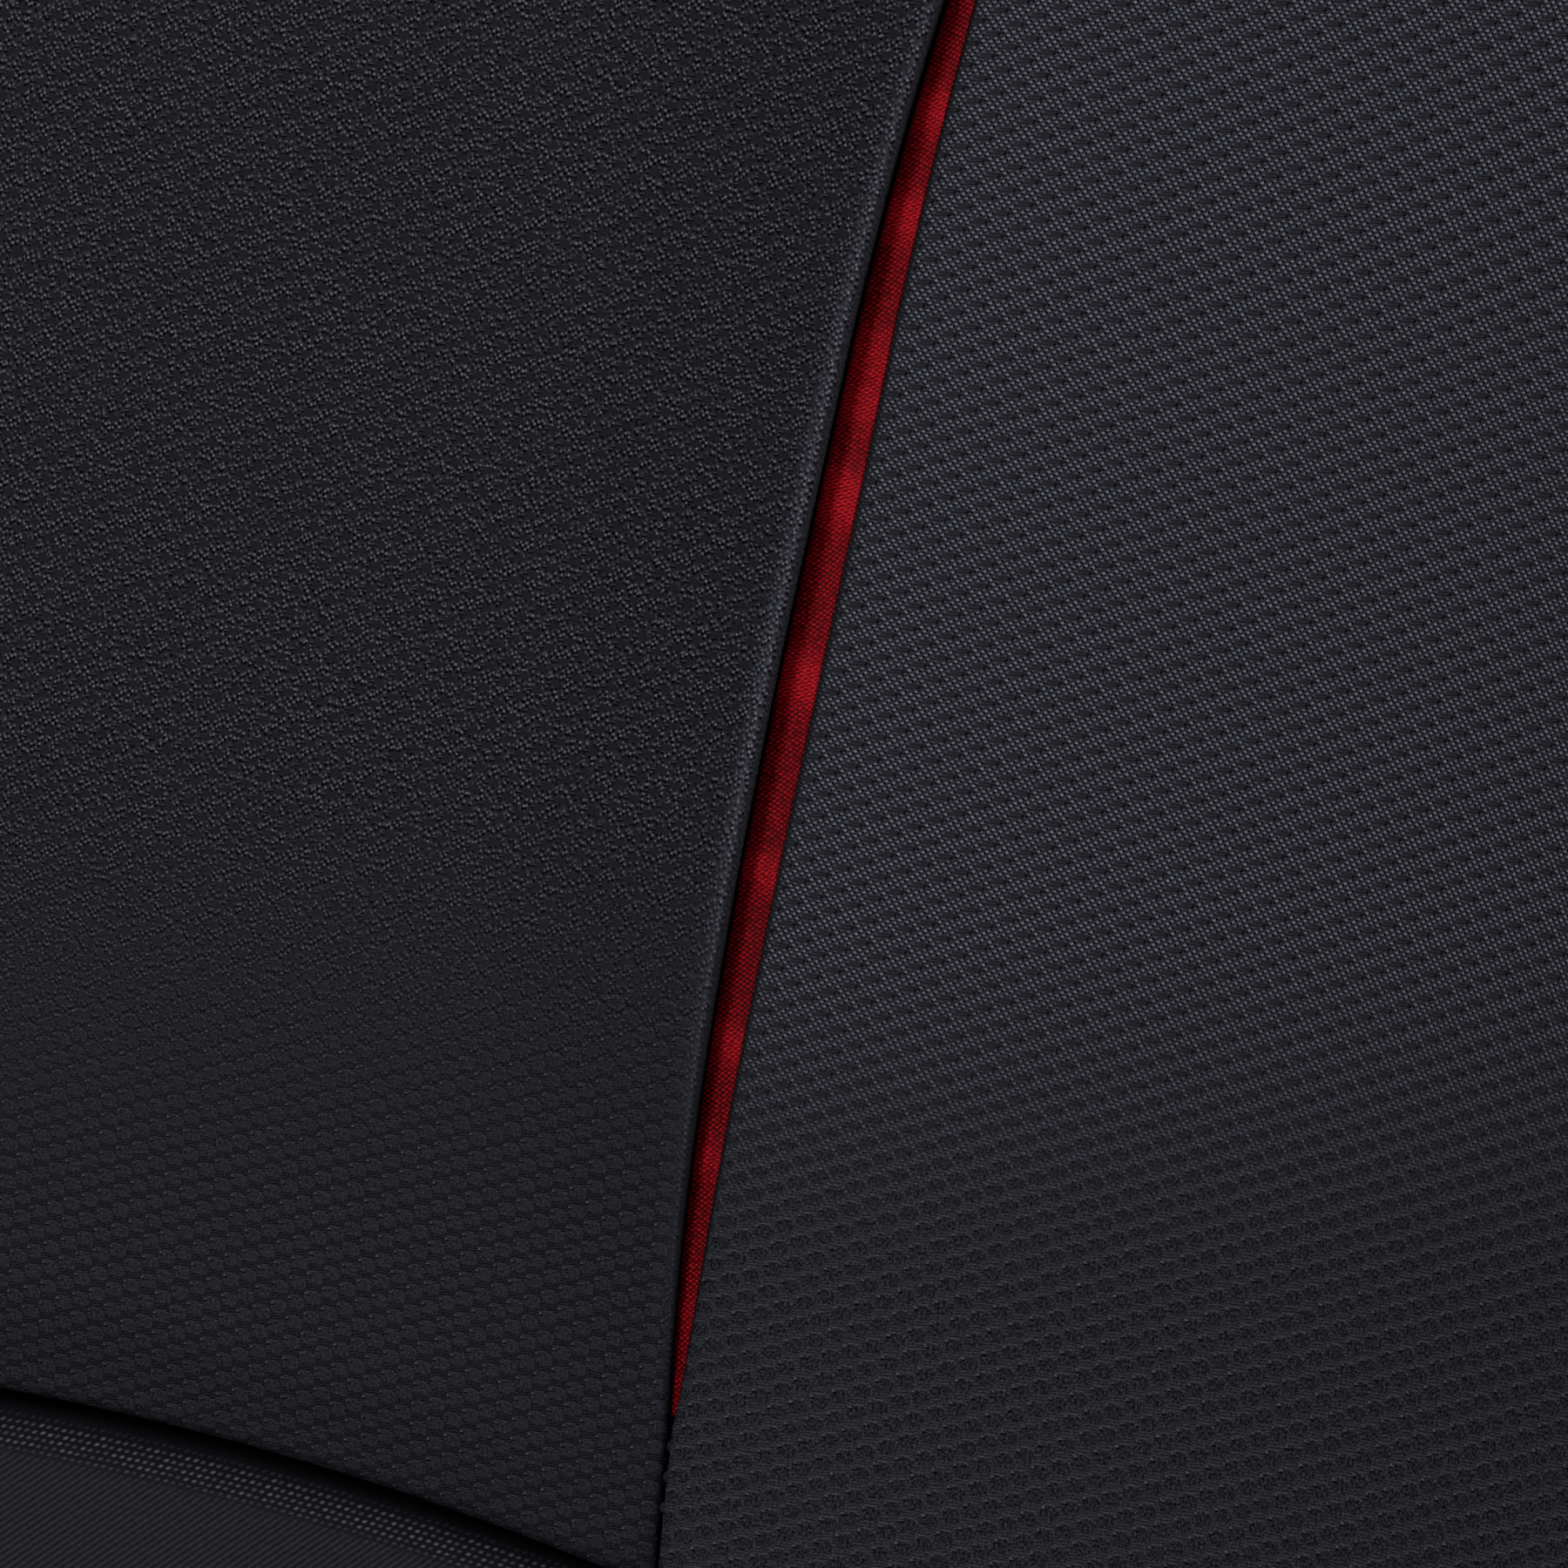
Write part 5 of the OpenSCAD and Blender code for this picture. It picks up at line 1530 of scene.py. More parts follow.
class PadSet:
    """All the pads of the seat, in the places that the frame gives them."""

    def __init__(self) -> None:
        """Lays the pads out."""
        lumbar_top, head_end = U_LOWER + 19.5, 1254.2

        def panel(u: Array) -> Array:
            """Side edge of the centre panel."""
            return SEAM.middle(u) - SEAM.width(u) / 2

        def bolster(u: Array) -> Array:
            """Inner edge of a back bolster, clear of the lumbar pad."""
            inner = 112.0 + 2.5 + np.maximum(0, u - U_LOWER)
            return np.minimum(SEAM.middle(u) + SEAM.width(u) / 2, inner)

        def wing(u: Array) -> Array:
            """Outer edge of a bolster, on the shell's wing."""
            return FORM.reach(u) - 5.0

        def lumbar(u: Array) -> Array:
            """Side edge of the lumbar pad."""
            return np.minimum(panel(u) - 1.2, 110.0)

        def pulled(half: float, pull: float, start: float, end: float) -> Callable[[Array], Array]:
            """Side edge that the cover's tension pulls in.

            Args:
                half: Half width at the ends.
                pull: How far the edge is pulled in halfway.
                start: Place of the first end along the shell.
                end: Place of the other.

            Returns:
                The half width as a function of the place.
            """

            def side(u: Array) -> Array:
                """Half width at u."""
                t = (u - start) / (end - start)
                return half - pull * 4 * t * (1 - t)

            return side

        head = pulled(92.0, 6.0, U_UPPER - 28, head_end)
        seat = pulled(158.0, 5.0, 168.0, U_HIP - 104)
        knee = pulled(152.0, 3.0, 24.0, 132.0)
        roll = Edge(0.45, 7.0)
        self.back = Pad(
            "back_panel", ("back_cover", "back_foam"), "jacquard_black",
            lumbar_top + 1.3, U_UPPER - 104, lambda u: -panel(u), panel, 26.0, GLUED,
            (Edge(0.92, 0.8), Edge(0.92, 0.8), Edge(0.8, 2.6), Edge(0.45, 6.0)),
            drops=(arch, level), cell=2.0, swell=1.2, hem=Hem.SEAM, drawn=(718.0, 770.0),
            speckled=True,
        )  # fmt: skip
        self.bolsters = [
            Pad(
                f"back_bolster_{side.word}",
                (f"back_bolster_cover_{side.word}", f"back_bolster_foam_{side.word}"),
                "jacquard_black", U_HIP - 64, U_UPPER - 114, bolster, wing, 28.0, GLUED + 0.4,
                (Edge(0.8, 0.9), Edge(0.4, 8.0), Edge(0.4, 8.0), Edge(0.4, 8.0)),
                corners=(0.0, 36.0), cell=2.4, swell=1.2, mirrored=side is Side.LEFT,
                hem=Hem.SEAM, drawn=(712.0, 752.0), taut=0.735,
            )
            for side in Side
        ]  # fmt: skip
        self.lumbar = Pad(
            "lumbar_pad", ("lumbar_cover", "lumbar_foam"), "twill_black",
            U_HIP - 36, lumbar_top, lambda u: -lumbar(u), lumbar, 30.0, PATCHED,
            (roll, roll, roll, Edge(0.64, 4.0)), drops=(level, arch), cell=2.4, hem=Hem.TOP,
        )  # fmt: skip
        self.head = Pad(
            "head_pad", ("head_cover", "head_foam"), "jacquard_black",
            U_UPPER - 28, head_end, lambda u: -head(u), head, 24.0, PATCHED,
            (Edge(0.4, 7.0),) * 4, corners=(16.0, 16.0), stitched=16.0,
        )  # fmt: skip
        self.seat = Pad(
            "seat_cushion", ("seat_cover", "seat_foam"), "jacquard_black",
            168.0, U_HIP - 104, lambda u: -seat(u), seat, 40.0, PATCHED,
            (roll, roll, Edge(0.5, 8.0), Edge(0.4, 8.0)), corners=(18.0, 18.0), stitched=22.0,
        )  # fmt: skip
        self.knee = Pad(
            "knee_pad", ("knee_cover", "knee_foam"), "twill_black",
            24.0, 132.0, lambda u: -knee(u), knee, 34.0, PATCHED,
            (roll, roll, Edge(0.4, 8.0), roll), corners=(22.0, 18.0), stitched=18.0,
        )  # fmt: skip
        self.thighs = [
            Pad(
                f"thigh_bolster_{side.word}",
                (f"thigh_bolster_cover_{side.word}", f"thigh_bolster_foam_{side.word}"),
                "jacquard_black", 102.0, 247.0,
                lambda u: FORM.station(u)[..., 0] + 10, wing, 26.0, GLUED,
                (roll, Edge(0.4, 7.0), Edge(0.4, 7.0), Edge(0.4, 7.0)),
                corners=(8.0, 26.0), mirrored=side is Side.LEFT,
            )
            for side in Side
        ]  # fmt: skip

    def all(self) -> list[Pad]:
        """Every pad."""
        singles = self.lumbar, self.head, self.seat, self.knee
        return [self.back, *self.bolsters, *singles, *self.thighs]


@dataclass
class RedInsert:
    """Ribbon in the open seam: low beside the centre panel, high beside the bolster."""

    side: Side
    top: float = GLUED + 26.0 * 0.86
    deep: float = 3.4
    shallow: float = 1.1
    thick: float = 0.5
    clear: float = 0.12
    # Place along the shell from which the ribbon is painted lighter where it opens wide.
    painted_light_from: float = 735.0
    folds: tuple[Pair, ...] = (
        (829.0, 0.6), (819.0, 0.7), (806.0, 0.4), (801.0, 0.5), (792.0, 1.0), (774.0, 0.8),
        (755.0, 0.5), (738.0, 0.6), (726.5, 0.5), (711.0, 0.3), (692.0, 0.4), (675.0, 0.3),
    )  # fmt: skip

    def _folds(self, u: Array, s: Array) -> Array:
        """How far the ribbon puckers in the slanting folds that the sewing leaves."""
        slant = u + 1.2 * (s - 0.5)
        return sum(deep * np.exp(-(((slant - at) / 2.3) ** 2)) for at, deep in self.folds)

    def build(self, finishes: Finishes) -> bpy.types.Object:
        """Makes the ribbon.

        Args:
            finishes: The seat's materials.

        Returns:
            The ribbon, set on its body.
        """
        u, s = np.meshgrid(
            np.arange(SEAM.start + 1, SEAM.start + SEAM.length - 1, 0.8),
            np.linspace(0, 1, 13),
            indexing="ij",
        )
        half = SEAM.width(u) / 2 - self.clear
        w = SEAM.middle(u) + (2 * s - 1) * half
        fold = self._folds(u, s)
        wide = (SEAM.width(u) - SEAM.gap) / SEAM.reveal
        sag = self.deep - (self.deep - self.shallow) * s**0.7
        sag = self.top - sag * (0.55 + 0.45 * wide) + 0.5 * fold * s * (1.4 - s)
        points, faces = closed_form(FORM.above(u, w, sag), FORM.above(u, w, sag - self.thick))
        if self.side is Side.LEFT:
            points, faces = mirror(points, faces)
        name = f"red_insert_{self.side.word}"
        # Painted light: from that place up, the ribbon is brightened where its opening is wide;
        # this is stored with the folds in the mark that the red cloth turns into painted
        # highlights.
        loose = 0.3 * wide * np.clip((u - self.painted_light_from) / 40.0, 0.0, 1.0)
        piece = make_piece(
            name + "_ribbon", points, faces, [finishes["taffeta_red"]], flat_cloth(u, w),
            marks={"pucker_and_light": np.tile((fold * 1.15 + loose).ravel(), 2)},
        )  # fmt: skip
        return place_piece(piece, Body.SEAT, [name])


# ---- geometry nodes ----


class PathTree(NodeBuilder):
    """A Geometry Nodes group that turns the edges of a mesh into something along them."""

    def __init__(self, name: str, sizes: dict[str, float]) -> None:
        """Starts the group with named inputs.

        Args:
            name: The group's name.
            sizes: Name and first value of each size.
        """
        super().__init__(bpy.data.node_groups.new(name, "GeometryNodeTree"))
        face = self.tree.interface
        face.new_socket("Geometry", in_out="INPUT", socket_type="NodeSocketGeometry")
        self.keys = {}
        for key, value in sizes.items():
            made = face.new_socket(key, in_out="INPUT", socket_type="NodeSocketFloat")
            made.default_value = value
            self.keys[key] = made.identifier
        made = face.new_socket("Finish", in_out="INPUT", socket_type="NodeSocketMaterial")
        self.keys["Finish"] = made.identifier
        face.new_socket("Geometry", in_out="OUTPUT", socket_type="NodeSocketGeometry")
        self.inputs = self.node("NodeGroupInput").outputs

    def close(self, geometry: bpy.types.NodeSocket) -> None:
        """Ends the group with real geometry in its finish.

        Args:
            geometry: What the group has made.
        """
        real = self.node("GeometryNodeRealizeInstances", inputs={0: geometry})
        smooth = self.node("GeometryNodeSetShadeSmooth", inputs={0: real.outputs[0]})
        painted = self.node(
            "GeometryNodeSetMaterial",
            inputs={0: smooth.outputs[0], "Material": self.inputs["Finish"]},
        )
        self.node("NodeGroupOutput", inputs={0: painted.outputs[0]})

    def apply(
        self, name: str, runs: Sequence[Array], sizes: dict[str, float], finish: bpy.types.Material
    ) -> bpy.types.Object:
        """Runs the group over lines of points.

        Args:
            name: Name of the piece.
            runs: Lines of points in millimetres.
            sizes: Values of the named inputs, in metres.
            finish: Material of the result.

        Returns:
            A plain mesh object.
        """
        edges, first = [], 0
        for run in runs:
            edges += [(first + k, first + k + 1) for k in range(len(run) - 1)]
            first += len(run)
        mesh = bpy.data.meshes.new(name)
        mesh.from_pydata((np.concatenate(runs) * MM).tolist(), edges, [])
        made = add_object(name, mesh)
        modifier = made.modifiers.new("Along path", "NODES")
        modifier.node_group = self.tree
        for key, value in sizes.items():
            modifier[self.keys[key]] = float(value)
        modifier[self.keys["Finish"]] = finish
        return to_mesh(made)


class StitchTree(PathTree):
    """Stitches at an even pitch along a line."""

    def __init__(self) -> None:
        """Builds the group."""
        super().__init__("Stitches", {"Pitch": 0.0032, "Length": 0.0024, "Thread": 0.0003})
        curve = self.node("GeometryNodeMeshToCurve", inputs={0: self.inputs["Geometry"]})
        even = self.node(
            "GeometryNodeResampleCurve", {"mode": "LENGTH"},
            {"Curve": curve.outputs[0], "Length": self.inputs["Pitch"]},
        )  # fmt: skip
        ball = self.node(
            "GeometryNodeMeshUVSphere", inputs={"Segments": 8, "Rings": 6, "Radius": 0.5}
        )
        wide = self.node(
            "ShaderNodeMath", {"operation": "MULTIPLY"}, {0: self.inputs["Thread"], 1: 2.0}
        )
        size = self.node(
            "ShaderNodeCombineXYZ",
            inputs={0: wide.outputs[0], 1: wide.outputs[0], 2: self.inputs["Length"]},
        )
        tangent = self.node("GeometryNodeInputTangent")
        turned = self.node(
            "FunctionNodeAlignRotationToVector", {"axis": "Z"}, {"Vector": tangent.outputs[0]}
        )
        placed = self.node(
            "GeometryNodeInstanceOnPoints",
            inputs={
                "Points": even.outputs[0], "Instance": ball.outputs[0],
                "Rotation": turned.outputs[0], "Scale": size.outputs[0],
            },
        )  # fmt: skip
        self.close(placed.outputs[0])


class TubeTree(PathTree):
    """Round wire along a line."""

    def __init__(self) -> None:
        """Builds the group."""
        super().__init__("Round wire", {"Radius": 0.001})
        curve = self.node("GeometryNodeMeshToCurve", inputs={0: self.inputs["Geometry"]})
        ring = self.node(
            "GeometryNodeCurvePrimitiveCircle",
            inputs={"Resolution": 12, "Radius": self.inputs["Radius"]},
        )
        tube = self.node(
            "GeometryNodeCurveToMesh",
            inputs={"Curve": curve.outputs[0], "Profile Curve": ring.outputs[0], "Fill Caps": True},
        )
        self.close(tube.outputs[0])


@dataclass
class Stitching:
    """Thread along the closed parts of the long seams and round the sewn lines of pads."""

    seam: Triple = (2.8, 1.1, 0.4)
    sewn: Triple = (4.2, 3.2, 0.32)
    height: float = 21.3

    def build(self, pads: PadSet, finishes: Finishes) -> None:
        """Makes the stitches.

        Args:
            pads: The pads that are sewn.
            finishes: The seat's materials.
        """
        tree, runs = StitchTree(), []
        keys = "Pitch", "Length", "Thread"
        seam, sewn = (
            {key: size * MM for key, size in zip(keys, sizes)} for sizes in (self.seam, self.sewn)
        )
        for low, high in ((U_LOWER + 8, SEAM.start), (SEAM.start + SEAM.length, U_UPPER - 112)):
            u = np.arange(low, high, 2.0)
            line = FORM.above(u, SEAM.middle(u), self.height)
            runs += [line, line * FLIP]
        piece = tree.apply("seam_stitches", runs, seam, finishes.thread)
        place_piece(piece, Body.SEAT)
        for pad in pads.all():
            if pad.stitched:
                line = [pad.sewn_line()]
                piece = tree.apply(pad.name + "_stitches", line, sewn, finishes.thread)
                place_piece(piece, Body.SEAT)


# ---- shell, trim and bezels ----


@dataclass
class Shell:
    """The smooth moulded shell with its slots and bolt bosses, and its edge trim."""

    row_pitch: float = 6.0
    boss_r: float = 22.0
    boss_ends: Pair = (222.0, 232.0)
    bore_r: float = 7.05
    bore_ends: Pair = (222.0, 240.0)
    bolt_y: float = 145.0
    bolt_z: float = 200.0
    shoulder_slot: tuple[float, ...] = (78.0, 42.0, 8.0, 50.0)
    shoulder_x: float = 91.0
    crotch_slot: tuple[float, ...] = (70.0, 20.0, 6.0, 50.0)
    crotch_u: float = 150.0
    lap_slot: tuple[float, ...] = (90.0, 28.0, 8.0, 50.0)
    lap_x: float = 225.0
    lap_below: float = 90.0
    lap_angle: float = 2.0
    trim: Triple = (2.2, 0.2, 5.0)

    def _grid(self) -> tuple[Array, Array, Array, Array]:
        """Lays a grid over the shell.

        Returns:
            Places along and across, and the points of the inner and outer faces.
        """
        rows = np.linspace(0, FORM.ends[-1], round(FORM.ends[-1] / self.row_pitch) + 1)
        a, r, f, b = np.moveaxis(FORM.station(rows), -1, 0)
        rim = rows * 0 + FORM.rim_r * math.radians(FORM.rim_turn)
        parts = [(a, 9), (r * np.radians(f), 14), (b, 5), (rim, 5)]
        line, base = [rows * 0], rows * 0
        for length, count in parts:
            line += [base + length * k / count for k in range(1, count + 1)]
            base = base + length
        half = np.stack(line, 1)
        w = np.concatenate([-half[:, :0:-1], half], 1)
        u = np.repeat(rows[:, None], w.shape[1], 1)
        return u, w, FORM.above(u, w, 0.0), FORM.above(u, w, -FORM.wall)

    def _prism(
        self, name: str, centre: Vector, turn: Matrix, size: Sequence[float]
    ) -> bpy.types.Object:
        """Round-cornered bar that cuts a slot.

        Args:
            name: The bar's name.
            centre: Its middle.
            turn: Its rotation.
            size: Width, height, corner radius and length.

        Returns:
            The bar.
        """
        width, height, r, length = size
        x, y = width / 2 - r, height / 2 - r
        outline = [
            (sx * x + r * math.cos(angle), sy * y + r * math.sin(angle))
            for quarter, (sx, sy) in enumerate(((1, 1), (-1, 1), (-1, -1), (1, -1)))
            for angle in np.linspace(0, math.pi / 2, 7) + quarter * math.pi / 2
        ]
        points = [(*place, z) for z in (-length / 2, length / 2) for place in outline]
        placed = [tuple(turn @ Vector(p) + centre) for p in points]
        return make_piece(name, np.array(placed), prism_faces(len(outline)), [])

    def _cutters(self) -> list[bpy.types.Object]:
        """Makes the bars that cut the belt slots.

        Returns:
            The bars.
        """
        made = []
        for key, place, x, size in (
            ("shoulder", U_UPPER - 74, self.shoulder_x, self.shoulder_slot),
            ("crotch", self.crotch_u, 0.0, self.crotch_slot),
        ):
            (y, z), h = (v[0] for v in FORM.spine(np.array([place])))
            turn = Matrix.Rotation(float(h), 3, "X")
            for sign in SIGNS if x else (1,):
                made.append(self._prism(f"{key}{sign}", Vector((sign * x, y, z)), turn, size))
        pan, lap = math.radians(FORM.pan_slope), math.radians(self.lap_angle)
        hip = FORM.starts[2] + FORM.hip_r * np.array([math.sin(pan), math.cos(pan)])
        y, z = hip + self.lap_below * np.array([math.sin(lap), -math.cos(lap)])
        turn = Matrix(((0, 0, 1), (1, 0, 0), (0, 1, 0)))
        for sign in SIGNS:
            centre = Vector((sign * self.lap_x, y, z))
            made.append(self._prism(f"lap{sign}", centre, turn, self.lap_slot))
        return made

    def _rods(self, name: str, radius: float, ends: Pair) -> list[bpy.types.Object]:
        """Round bars along X, one at each side bolt.

        Args:
            name: Start of their names.
            radius: Their radius.
            ends: Distances of their ends from the seat's middle.

        Returns:
            The bars.
        """
        count, made = 48, []
        t = np.linspace(0, 2 * math.pi, count, endpoint=False)
        for sign in SIGNS:
            for end in SIGNS:
                y, z = radius * np.cos(t) + end * self.bolt_y, radius * np.sin(t) + self.bolt_z
                ring = np.stack([t * 0, y, z], 1)
                points = np.concatenate([ring + [x, 0, 0] for x in ends])
                faces = prism_faces(count)
                if sign < 0:
                    points, faces = mirror(points, faces)
                made.append(make_piece(f"{name}{sign}{end}", points, faces, []))
        return made

    def build(self, finishes: Finishes) -> None:
        """Makes shell and trim.

        Args:
            finishes: The seat's materials.
        """
        u, w, inner, outer = self._grid()
        rows, columns = u.shape
        outside = finishes["shell_composite"]
        form, looks = closed_form(inner, outer), [finishes.lining, outside]
        shell = make_piece("shell_moulding", *form, looks, flat_cloth(u, w))
        index = np.ones(len(shell.data.polygons), np.int32)
        index[: (rows - 1) * (columns - 1)] = 0
        shell.data.polygons.foreach_set("material_index", index)
        bosses = self._rods("boss", self.boss_r, self.boss_ends)
        bores = self._rods("bore", self.bore_r, self.bore_ends)
        tools = [("UNION", b) for b in bosses]
        tools += [("DIFFERENCE", c) for c in self._cutters() + bores]
        for operation, tool in tools:
            tool.data.materials.append(outside)
            if operation == "UNION":
                tool.data.materials.append(finishes.lining)
                tool.data.polygons[0].material_index = 1
            modifier = shell.modifiers.new(tool.name, "BOOLEAN")
            modifier.object, modifier.operation, modifier.solver = tool, operation, "EXACT"
            modifier.material_mode = "TRANSFER"
        to_mesh(shell)
        for _, tool in tools:
            bpy.data.objects.remove(tool)
        shell.data.set_sharp_from_angle(angle=math.radians(32))
        place_piece(shell, Body.SEAT, ["shell"])
        self._trim(inner, finishes)

    def _trim(self, inner: Array, finishes: Finishes) -> None:
        """Makes the rounded rubber trim along the shell's edge.

        Args:
            inner: Points of the shell's inner face.
            finishes: The seat's materials.
        """
        rows, columns = inner.shape[:2]
        loop = edge_loop(rows, columns)
        flat = inner.reshape(-1, 3)
        across, along = np.gradient(inner, axis=1), np.gradient(inner, axis=0)
        normal = np.cross(across, along).reshape(-1, 3)
        normal /= np.linalg.norm(normal, axis=1, keepdims=True)
        out = np.zeros((len(loop), 3))
        for k, point in enumerate(loop):
            i, j = divmod(point, columns)
            beside = [(i, abs(j - 1))] if j in (0, columns - 1) else []
            beside += [(abs(i - 1), j)] if i in (0, rows - 1) else []
            for other in beside:
                step = inner[i, j] - inner[other]
                out[k] += step / np.linalg.norm(step)
        out /= np.linalg.norm(out, axis=1, keepdims=True)
        (t, fit, depth), wall = self.trim, FORM.wall
        r = wall / 2 + fit + t
        arc = [
            (fit - 1.4 + r * math.cos(a) * 0.95, -wall / 2 + r * math.sin(a))
            for a in np.linspace(-math.pi / 2, math.pi / 2, 11)
        ]
        section = [
            (-depth, 2 * fit), (fit, fit), (fit, -wall - fit), (-depth, -wall - 2 * fit),
            (-depth - 0.3, -wall - fit - 0.6 * t), (-depth + 0.6, -wall - fit - t),
            *arc, (-depth + 0.6, fit + t), (-depth - 0.3, fit + 0.6 * t),
        ]  # fmt: skip
        beyond, above = zip(*section)
        points = np.concatenate(
            [
                flat[point] + np.outer(beyond, way) + np.outer(above, normal[point])
                for point, way in zip(loop, out)
            ]
        )
        faces = ring_faces(len(loop), len(section))
        piece = make_piece("edge_trim", points, faces, [finishes["trim_rubber"]], sharp=50.0)
        place_piece(piece, Body.SEAT, ["rim_trim"])


# ---- rigid pieces ----


@dataclass(frozen=True)
class RoundedNode:
    """A frame node whose edges get the small rounding of the real piece."""

    node: str
    body: Body
    slot: str
    width: float = 0.4
    segments: int = 2

    def build(self, finishes: Finishes) -> bpy.types.Object:
        """Makes the rounded copy.

        Args:
            finishes: The seat's materials.

        Returns:
            The copy, set on its body in place of the node.
        """
        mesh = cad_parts[self.node].data.copy()
        work = bmesh.new()
        work.from_mesh(mesh)
        bmesh.ops.remove_doubles(work, verts=work.verts, dist=2e-6)
        bmesh.ops.dissolve_limit(
            work, angle_limit=math.radians(0.6), verts=work.verts, edges=work.edges
        )
        work.to_mesh(mesh)
        work.free()
        mesh.materials.clear()
        mesh.materials.append(finishes[self.slot])
        mesh.shade_smooth()
        made = add_object(self.node + "_piece", mesh)
        bevel = made.modifiers.new("Rounding", "BEVEL")
        bevel.width = self.width * MM
        bevel.segments = self.segments
        bevel.limit_method = "ANGLE"
        bevel.angle_limit = math.radians(38)
        to_mesh(made)
        made.data.set_sharp_from_angle(angle=math.radians(36))
        return place_piece(made, self.body, [self.node])


@dataclass
class Hardware:
    """Rails, brackets, fasteners, bezels and the release bar's levers."""

    def build(self, finishes: Finishes) -> None:
        """Makes every rounded piece and paints the nodes that stay.

        Args:
            finishes: The seat's materials.
        """
        for name, body, slot, width, paired in (
            ("lower_rail", Body.FLOOR, "rail_steel", 0.5, True),
            ("upper_rail", Body.SEAT, "rail_steel", 0.4, True),
            ("bracket", Body.SEAT, "bracket_black", 0.7, True),
            ("latch", Body.BAR, "latch_steel", 0.4, True),
            ("shoulder_bezel", Body.SEAT, "bezel_plastic", 0.7, True),
            ("lap_bezel", Body.SEAT, "bezel_plastic", 0.7, True),
            ("crotch_bezel", Body.SEAT, "bezel_plastic", 0.7, False),
            ("foot_bolts", Body.SEAT, "bolt_steel", 0.5, False),
            ("side_bolts", Body.SEAT, "bolt_steel", 0.5, False),
            ("foot_nuts", Body.SEAT, "plated_steel", 0.4, False),
            ("side_washers", Body.SEAT, "plated_steel", 0.3, False),
            ("pivot_pins", Body.SEAT, "plated_steel", 0.4, False),
            ("release_bar", Body.BAR, "bar_black", 0.4, False),
        ):
            for node in [f"{name}_{side.word}" for side in Side] if paired else [name]:
                RoundedNode(node, body, slot, width).build(finishes)
        kept = {
            "ball_cage_left": "cage_plastic",
            "ball_cage_right": "cage_plastic",
            "balls_left": "ball_steel",
            "balls_right": "ball_steel",
            "side_inserts": "insert_brass",
            "hook_patches": "hook_tape",
        }
        for name, slot in kept.items():
            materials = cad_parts[name].data.materials
            materials.clear()
            materials.append(finishes[slot])


@dataclass
class Grip:
    """Soft ribbed sleeve on the release bar."""

    length: float = 180.0
    radius: float = 11.0
    bore: float = 7.05
    place: Pair = (-262.0, 50.0)
    ribs: int = 22
    sides: int = 40

    def build(self, finishes: Finishes) -> bpy.types.Object:
        """Makes the sleeve.

        Args:
            finishes: The seat's materials.

        Returns:
            The sleeve, set on its body.
        """
        x = np.linspace(-self.length / 2, self.length / 2, 240)
        end = np.clip((self.length / 2 - abs(x)) / 4.0, 0, 1)
        round_end = np.sqrt(1 - (1 - end) ** 2)
        ribbed = np.clip((self.length / 2 - 16 - abs(x)) / 4, 0, 1)
        wave = 0.5 - 0.5 * np.cos(x / self.length * self.ribs * 2 * math.pi)
        radius = self.radius - 2.2 * (1 - round_end) - 0.55 * ribbed * wave**4
        profile = [(self.bore, x[0]), *zip(radius, x), (self.bore, x[-1])]
        y, z = self.place
        points = [
            (along, y + r * math.cos(a), z + r * math.sin(a))
            for a in np.linspace(0, 2 * math.pi, self.sides, endpoint=False)
            for r, along in profile
        ]
        faces = ring_faces(self.sides, len(profile))
        piece = make_piece("grip_sleeve", points, faces, [finishes["grip_foam"]], sharp=60.0)
        return place_piece(piece, Body.BAR, ["release_grip"])


@dataclass
class LatchSpring:
    """Torsion spring on a pivot pin."""

    side: Side
    turns: int = 4
    pitch: float = 2.8
    radius: float = 5.5
    wire: float = 1.8
    leg: float = 14.0
    place: Triple = (205.0 - 34.4, -40.0, 38.0)

    def build(self, tree: TubeTree, finishes: Finishes) -> bpy.types.Object:
        """Makes the spring.

        Args:
            tree: The wire's node group.
            finishes: The seat's materials.

        Returns:
            The spring, set on its body.
        """
        t = np.linspace(0, self.turns * 2 * math.pi, self.turns * 24 + 1)
        x, r = -self.pitch * t / (2 * math.pi), self.radius
        coil = np.stack([x, r * np.cos(t), r * np.sin(t)], 1)
        line = np.concatenate([[coil[0] - [0, 0, self.leg]], coil, [coil[-1] + [0, 0, self.leg]]])
        line = (line + self.place) * [self.side.value, 1, 1]
        name = f"latch_spring_{self.side.word}"
        size = {"Radius": self.wire / 2 * MM}
        piece = tree.apply(name + "_wire", [line], size, finishes["spring_steel"])
        return place_piece(piece, Body.SEAT, [name])


# ---- studio ----


